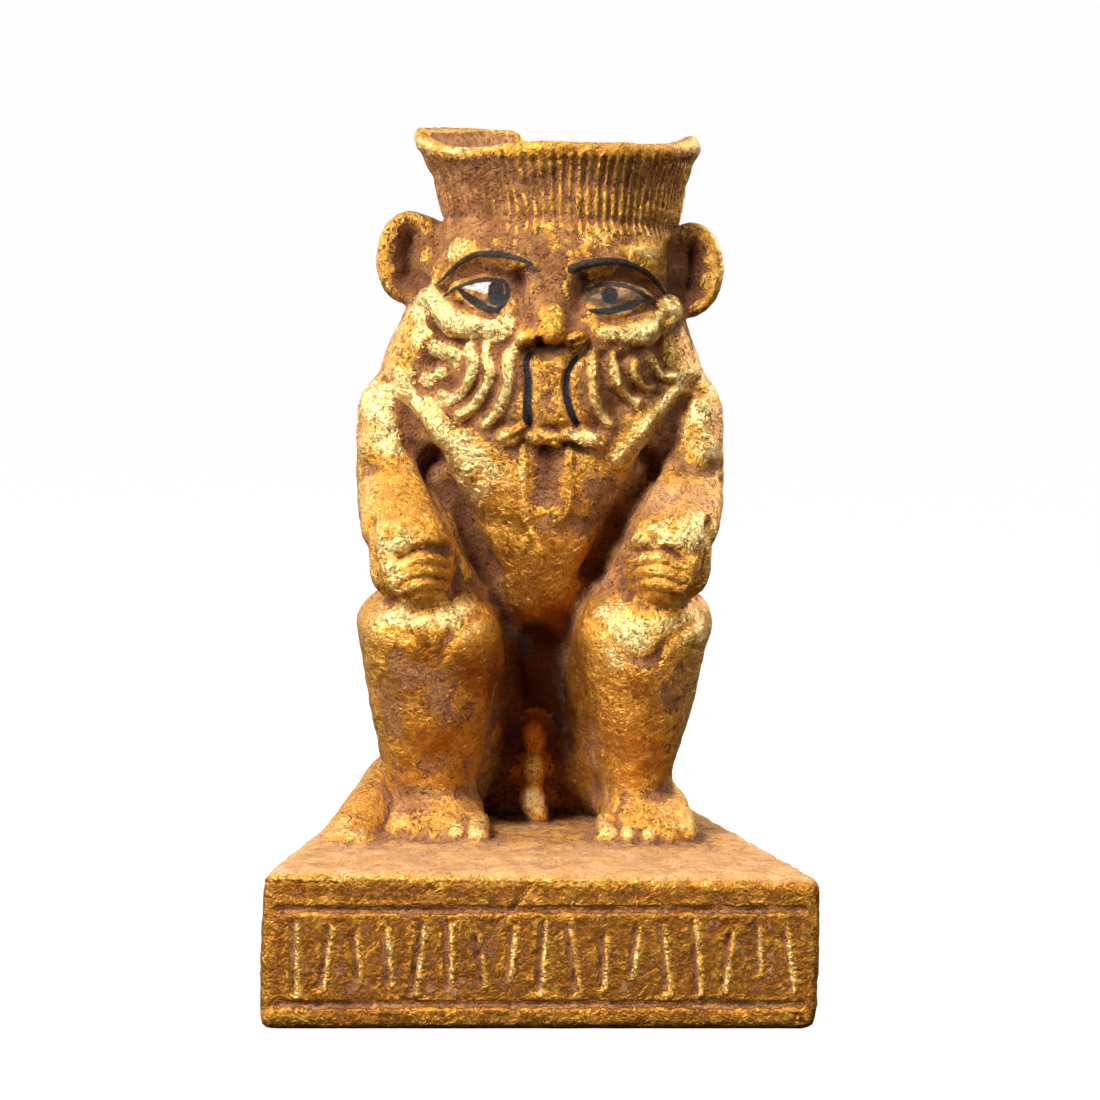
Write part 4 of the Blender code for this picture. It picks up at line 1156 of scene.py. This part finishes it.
# %% The painted lines over the leaf
PAINTS = {
    "smear_and_shadow": (0.7, -0.5, 0.85, "#3C2F27"),
    "dull": (0.20, -0.10, 0.75, "#947562"),
    "white": (0.12, -0.05, 1.0, "#E9DAD0"),
    "black": (0.12, -0.06, 0.97, "#201F21"),
}
brush = compute("MULTIPLY_ADD", noises["brush"], 0.60, -0.30)
painted_over = 0.0
for name, (none, full, most, shade) in PAINTS.items():
    edge = compute("ADD", on_skin[name], brush)
    share = ramp(edge, none, full, 0.0, most)
    colour = mix(share, colour, linear(shade), colours=True)
    painted_over = compute("MAXIMUM", painted_over, share)
metal = mix(painted_over, metal, 0.0)
rough = mix(painted_over, rough, 0.6)
surface = compute("MULTIPLY_ADD", painted_over, 0.05, surface)

# %% Joining the layers into one shader
relief_normal = node(tree, "ShaderNodeBump", {}, {"Strength": 1.0, "Distance": MM, "Height": surface})
finish = node(tree, "ShaderNodeBsdfPrincipled", {},
              {"Base Color": colour, "Metallic": metal, "Roughness": rough, "Normal": relief_normal,
               "Specular IOR Level": 0.3})
node(tree, "ShaderNodeOutputMaterial", {}, {"Surface": finish})
statue.data.materials.clear()
statue.data.materials.append(skin)
print("nodes in the finish:", len(tree.nodes))

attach(statue, "root")
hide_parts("statue")

# %% [markdown]
# The stage is a pale floor that curves up into a pale wall all round, so that no horizon shows. It glows
# evenly by itself and takes little of the lamps' light. Gold shows what is around it, so the paper is kept
# out of its reflections; it would make the metal look like flat paint.

# %% Floor and wall
pale = bpy.data.materials.new("matt white paper")
pale.use_nodes = True
paper_finish = pale.node_tree.nodes["Principled BSDF"]
paper_finish.inputs["Base Color"].default_value = linear("#20201F")
paper_finish.inputs["Roughness"].default_value = 0.9
paper_finish.inputs["Emission Color"].default_value = linear("#FFFFFF")
paper_finish.inputs["Emission Strength"].default_value = 0.98


def ring_stage(name, profile):
    """A round piece of the stage, from a profile of (radius, height) in metres."""
    bm = spun(profile, steps=96, weld=1e-5)
    mesh = bpy.data.meshes.new(name)
    bm.to_mesh(mesh)
    bm.free()
    mesh.shade_smooth()
    mesh.materials.append(pale)
    obj = put_in_scene(name, mesh)
    return obj


# in metres
FLOOR, BEND, WALL_TALL = 1.2, 1.4, 4.0
floor = ring_stage("floor", [(0.0, 0.0), (0.5, 0.0), (FLOOR, 0.0)])
bend = [(FLOOR + BEND * math.sin(a), BEND - BEND * math.cos(a)) for a in np.linspace(0, math.pi / 2, 13)]
wall = ring_stage("wall", bend + [(FLOOR + BEND, WALL_TALL)])
for paper in (floor, wall):
    paper.visible_diffuse = False
    paper.visible_glossy = False
    paper.visible_shadow = False
    paper.visible_transmission = False

# %% [markdown]
# One soft light stands high at the front left and makes the bright spots on the cheek, the shoulder, the
# fist and the knee, and a broad one beside it, like a window, widens them. A weaker one fills from the
# right, and one overhead lights the block's top. Two behind show the back, and give the front view its
# faint bright rims. The room is dim below and light above, so upright faces stay darker.

# %% Lights
room = bpy.data.worlds.new("dim room")
bpy.context.scene.world = room
room.use_nodes = True
direction = node(room.node_tree, "ShaderNodeTexCoord", {}, {}, "Generated")
level = node(room.node_tree, "ShaderNodeSeparateXYZ", {}, {0: direction}, "Z")
glow = node(room.node_tree, "ShaderNodeMapRange", {},
            {"Value": level, "From Min": -0.4, "From Max": 0.95, "To Min": 0.06, "To Max": 1.05})
room.node_tree.links.new(glow, room.node_tree.nodes["Background"].inputs["Strength"])
FIGURE_MIDDLE = Vector((0, 0, 0.08))


def soft_light(name, place, power, wide):
    """A round lamp that faces the figure's middle."""
    lamp = bpy.data.lights.new(name, "AREA")
    lamp.energy = power
    lamp.shape = "DISK"
    lamp.size = wide
    obj = put_in_scene(name, lamp)
    obj.location = place
    obj.rotation_euler = (FIGURE_MIDDLE - Vector(place)).to_track_quat("-Z", "Y").to_euler()
    obj.visible_camera = False


# name, place in metres, watts, width in metres
LIGHTS = (
    ("key", (-0.50, -0.60, 0.86), 23, 0.30),
    ("window", (-0.80, -0.50, 0.35), 7, 0.4),
    ("fill", (0.75, -0.60, 0.45), 5.5, 0.4),
    ("top", (0.05, 0.20, 0.97), 3.2, 0.4),
    ("behind right", (0.65, 0.70, 0.50), 6, 0.5),
    ("behind left", (-0.70, 0.65, 0.40), 4, 0.5),
)
for settings in LIGHTS:
    soft_light(*settings)
print("lights:", len(bpy.data.lights))

# %% [markdown]
# The camera looks slightly down from 40 cm in front of the block with a long lens, as the photograph was
# taken. The picture's frame is square.

# %% Camera
# in the picture's pixels: its width, the focal length, how far the horizon lies above the middle, and how
# far the figure stands beside it
PICTURE, FOCAL, HORIZON_UP, OFF_MIDDLE = 1100, 2470, 150, 10
SENSOR = 36
lens = bpy.data.cameras.new("camera")
camera = put_in_scene("camera", lens)
lens.sensor_width = SENSOR
lens.lens = SENSOR * FOCAL / PICTURE
lens.shift_x = OFF_MIDDLE / PICTURE
camera.location = (0, -0.441, 0.104)
camera.rotation_euler = (math.pi / 2 - math.atan(HORIZON_UP / FOCAL), 0, 0)
bpy.context.scene.camera = camera
bpy.context.scene.view_settings.view_transform = "Standard"
print("lens:", round(lens.lens, 1), "mm")
